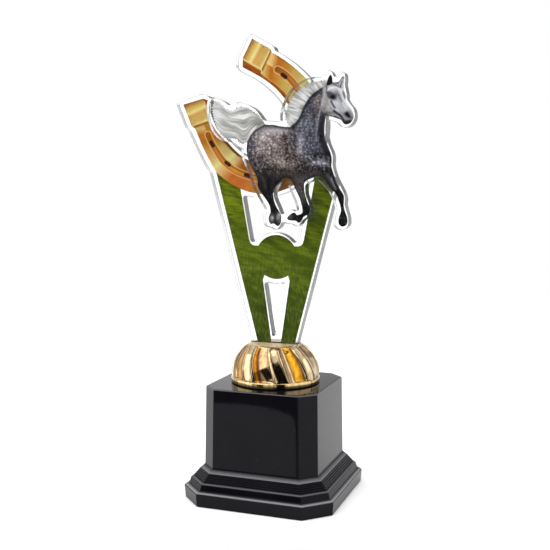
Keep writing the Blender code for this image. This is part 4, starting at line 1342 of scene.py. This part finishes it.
def paint_mane(picture):
    """White mane blown back from the crest in fine strands."""
    x, z = picture.points.T
    crest = smooth_line(HORSE_CREST, 0.3)
    away, along, side = line_distance(picture.points, crest)
    behind = ease(away * side, -0.25, 0.25)
    behind *= ease(x, 6.0, 6.4) * ease(z, 162.6, 163.2) * (1 - ease(x, 24.4, 24.8))
    strands = noise(along * 1.5 + away * 0.12 + 3, away * 0.22 + 2, 61)
    fine = noise(along * 3.6 + away * 0.25 + 8, away * 0.4 + 4, 62)
    level = 206 + 74 * (strands - 0.5) + 62 * (fine - 0.5) - 34 * np.exp(-(away / 1.2) ** 2)
    level += 12 * ease(along, 14.0, 22.0)
    tint = np.column_stack([level, level - 1.0, level - 2.0 + 3.0 * (strands - 0.5)])
    picture.colours += (np.clip(tint, 120, 250) - picture.colours) * behind[:, None]


def paint_tail(picture):
    """Pale tail in long wavy strands that draw together at the root."""
    points = picture.points
    x, z = points.T
    top = np.interp(x, [-28.5, -27, -24, -21, -19, -15, -12, -9, -7, -4],
                    [175.0, 175.3, 174.2, 171.8, 171.0, 172.6, 172.2, 170.6, 169.1, 165.4])
    low = np.interp(x, [-28.5, -26.5, -24, -22, -17, -14, -12, -10, -7, -4],
                    [164.5, 163.0, 159.8, 158.7, 158.0, 156.0, 156.6, 159.6, 162.6, 164.0])
    across_share = (z - low) / np.maximum(top - low, 0.8)
    wave = 0.05 * np.sin(x * 0.42 + 2.0 * across_share)
    strands = noise(x * 0.13 + 20, (across_share + wave) * 11 + 3, 71)
    fine = noise(x * 0.22 + 30, (across_share + wave) * 25 + 5, 72)
    root = ease(x, -16.0, -7.0)
    level = 208 + 56 * (strands - 0.5) + (84 + 70 * root) * (fine - 0.5)
    level += 34 * ease(-x, 22.0, 27.5) - 34 * root
    level += 26 * np.exp(-((across_share - 0.93) / 0.05) ** 2) * ease(-x, 4.0, 8.0)
    tint = np.column_stack([level, level - 1, level - 4])
    rump = smooth_line(HORSE_RUMP, 0.3)
    away, _, side = line_distance(points, rump)
    body = np.where(x > -3.3, -1.0, 1.0)
    tail = ease(away * side * body, -0.2, 0.2) * (1 - ease(x, -3.6, -3.2))
    tail = np.where(x < -12.2, 1.0, tail)
    picture.colours += (np.clip(tint, 110, 250) - picture.colours) * tail[:, None]
    picture.lay((112, 117, 108), 0.85 * tail * np.exp(-((x + 6.4) / 2.6) ** 2 - ((z - 164.6) / 1.0) ** 2))
    picture.lay((160, 162, 158), 0.7 * tail * np.exp(-((x + 6.0) / 3.2) ** 2 - ((z - 166.4) / 1.3) ** 2))


def paint_horse(points):
    """A galloping dapple-grey horse seen from its right side."""
    picture = Picture(points, (66, 60, 60))
    paint_coat(picture)
    paint_legs(picture)
    edge = smooth_line(HORSE_HIND_LEGS[28:] + HORSE_RUMP[1:] + HORSE_BACK[1:], 0.4)
    away, _, _ = line_distance(points, edge)
    picture.lay((46, 46, 52), 0.75 * np.exp(-(away / 0.7) ** 2))
    belly = smooth_line(HORSE_CHEST[-14:] + HORSE_BENT_LEG[:1], 0.4)
    away, _, _ = line_distance(points, belly)
    picture.lay((36, 34, 38), 0.7 * np.exp(-(away / 0.9) ** 2))
    away, _, _ = line_distance(points, smooth_line(HORSE_BELLY, 0.4))
    picture.lay((30, 26, 26), 0.85 * np.exp(-(away / 1.3) ** 2))
    chest = smooth_line(HORSE_CHEST[6:18], 0.4)
    away, _, _ = line_distance(points, chest)
    picture.lay((30, 30, 34), 0.8 * np.exp(-(away / 0.9) ** 2))
    paint_neck(picture)
    paint_head(picture)
    paint_mane(picture)
    paint_tail(picture)
    return picture.colours


def make_horse_print():
    """The horse on the back face of its own plate."""
    places, triangles = filled_sheet([horse_loop()[::-1]], PICTURE_STEP)
    make_print("horse_print", places, triangles, HORSE_PRINT_Y, picture_ink("horse_ink"), paint_horse(places))


# Room

def make_camera():
    camera = bpy.data.objects.new("camera", bpy.data.cameras.new("camera"))
    bpy.context.scene.collection.objects.link(camera)
    back = Vector(CAMERA_BACK).normalized()
    right = Vector((0, 0, 1)).cross(back).normalized()
    up = back.cross(right)
    turned = Matrix((right, up, back)).transposed().to_4x4()
    camera.matrix_world = Matrix.Translation(CAMERA_PLACE) @ turned
    camera.data.lens = CAMERA_LENS
    camera.data.sensor_width = 36.0
    camera.data.clip_start = 0.01
    bpy.context.scene.camera = camera


def make_floor():
    """A pale floor whose front edge, with a rounded corner, shows in the plinth's front."""
    corners = FLOOR_EDGE + [(FLOOR_REACH, FLOOR_REACH), (-FLOOR_REACH, FLOOR_REACH)]
    mesh = bpy.data.meshes.new("floor")
    mesh.from_pydata([(x, y, -FLOOR_DROP) for x, y in corners], [], [tuple(range(len(corners)))])
    mesh.materials.append(floor_paper())
    floor = add_object("floor", mesh)


def make_room_light():
    """Soft boxes left and right, light from above and behind, and a dark room before the trophy."""
    world = bpy.data.worlds.new("studio")
    bpy.context.scene.world = world
    world.use_nodes = True
    tree = world.node_tree
    tree.nodes.clear()

    def reckon(operation, first, second=0.0):
        return node(tree, "Math", {0: first, 1: second}, operation=operation).outputs[0]

    direction = node(tree, "SeparateXYZ", {0: node(tree, "TexCoord").outputs["Generated"]}).outputs
    round_it = reckon("DEGREES", reckon("ARCTAN2", direction["X"], reckon("MULTIPLY", direction["Y"], -1.0)))
    up = reckon("DEGREES", reckon("ARCSINE", direction["Z"]))

    def over(value, edge, soft):
        made = node(tree, "MapRange", {"Value": value, "From Min": edge - soft, "From Max": edge + soft},
                    interpolation_type="SMOOTHSTEP")
        return made.outputs["Result"]

    def between(value, low, high, soft):
        return reckon("SUBTRACT", over(value, low, soft), over(value, high, soft))

    def mixed(share, first, second):
        return node(tree, "Mix", {0: share, 2: first, 3: second}).outputs[0]

    low = reckon("SUBTRACT", 1.0, over(up, *LOW_EDGE))
    below_middle = reckon("SUBTRACT", 1.0, over(up, *MIDDLE_EDGE))
    below_top = reckon("SUBTRACT", 1.0, over(up, *TOP_EDGE))
    core = between(round_it, *CORE_SECTOR)
    fore = between(round_it, *FORE_SECTOR)
    front = between(round_it, *FRONT_SECTOR)
    left = between(round_it, *LEFT_SECTOR)
    right = between(round_it, *RIGHT_SECTOR)
    behind = reckon("SUBTRACT", 1.0, between(round_it, *NOT_BEHIND_SECTOR))
    low_back = mixed(between(round_it, *BACK_LEFT_SECTOR), LOW_BACK_LIGHT, LOW_BACK_LEFT_LIGHT)
    light = mixed(left, BACK_LIGHT, LEFT_LIGHT)
    light = mixed(right, light, RIGHT_LIGHT)
    light = mixed(reckon("MULTIPLY", behind, between(up, *BACK_BAND)), light, low_back)
    light = mixed(reckon("MULTIPLY", core, below_top), light, MIDDLE_LIGHT)
    light = mixed(reckon("MULTIPLY", fore, low), light, FORE_LIGHT)
    light = mixed(reckon("MULTIPLY", front, low), light, LOW_FRONT_LIGHT)
    light = mixed(reckon("MULTIPLY", core, below_middle), light, FRONT_LIGHT)
    path = node(tree, "LightPath").outputs
    scattered = reckon("GREATER_THAN", path["Diffuse Depth"], 0.5)
    on_print = reckon("MULTIPLY", path["Is Transmission Ray"], scattered)
    light = reckon("MULTIPLY", light, mixed(on_print, 1.0, PRINT_LIGHT_GAIN))
    strength = mixed(path["Is Camera Ray"], light, 1.0)
    glow = node(tree, "Background", {"Color": (1, 1, 1, 1), "Strength": strength})
    tree.links.new(glow.outputs[0], node(tree, "OutputWorld").inputs["Surface"])


BACKING = white_backing()
CLEAR_FACE = clear_face()
CUT_EDGE = cut_edge()

bpy.context.scene.view_settings.view_transform = "Standard"
make_camera()
make_floor()
make_room_light()
make_plinth()
make_riser()
make_plate("back_plate_clear", "back_plate", CLEAR_FACE, CUT_EDGE)
make_plate("horse_plate_clear", "horse_plate", CLEAR_FACE, CUT_EDGE)
make_back_prints()
make_horse_print()
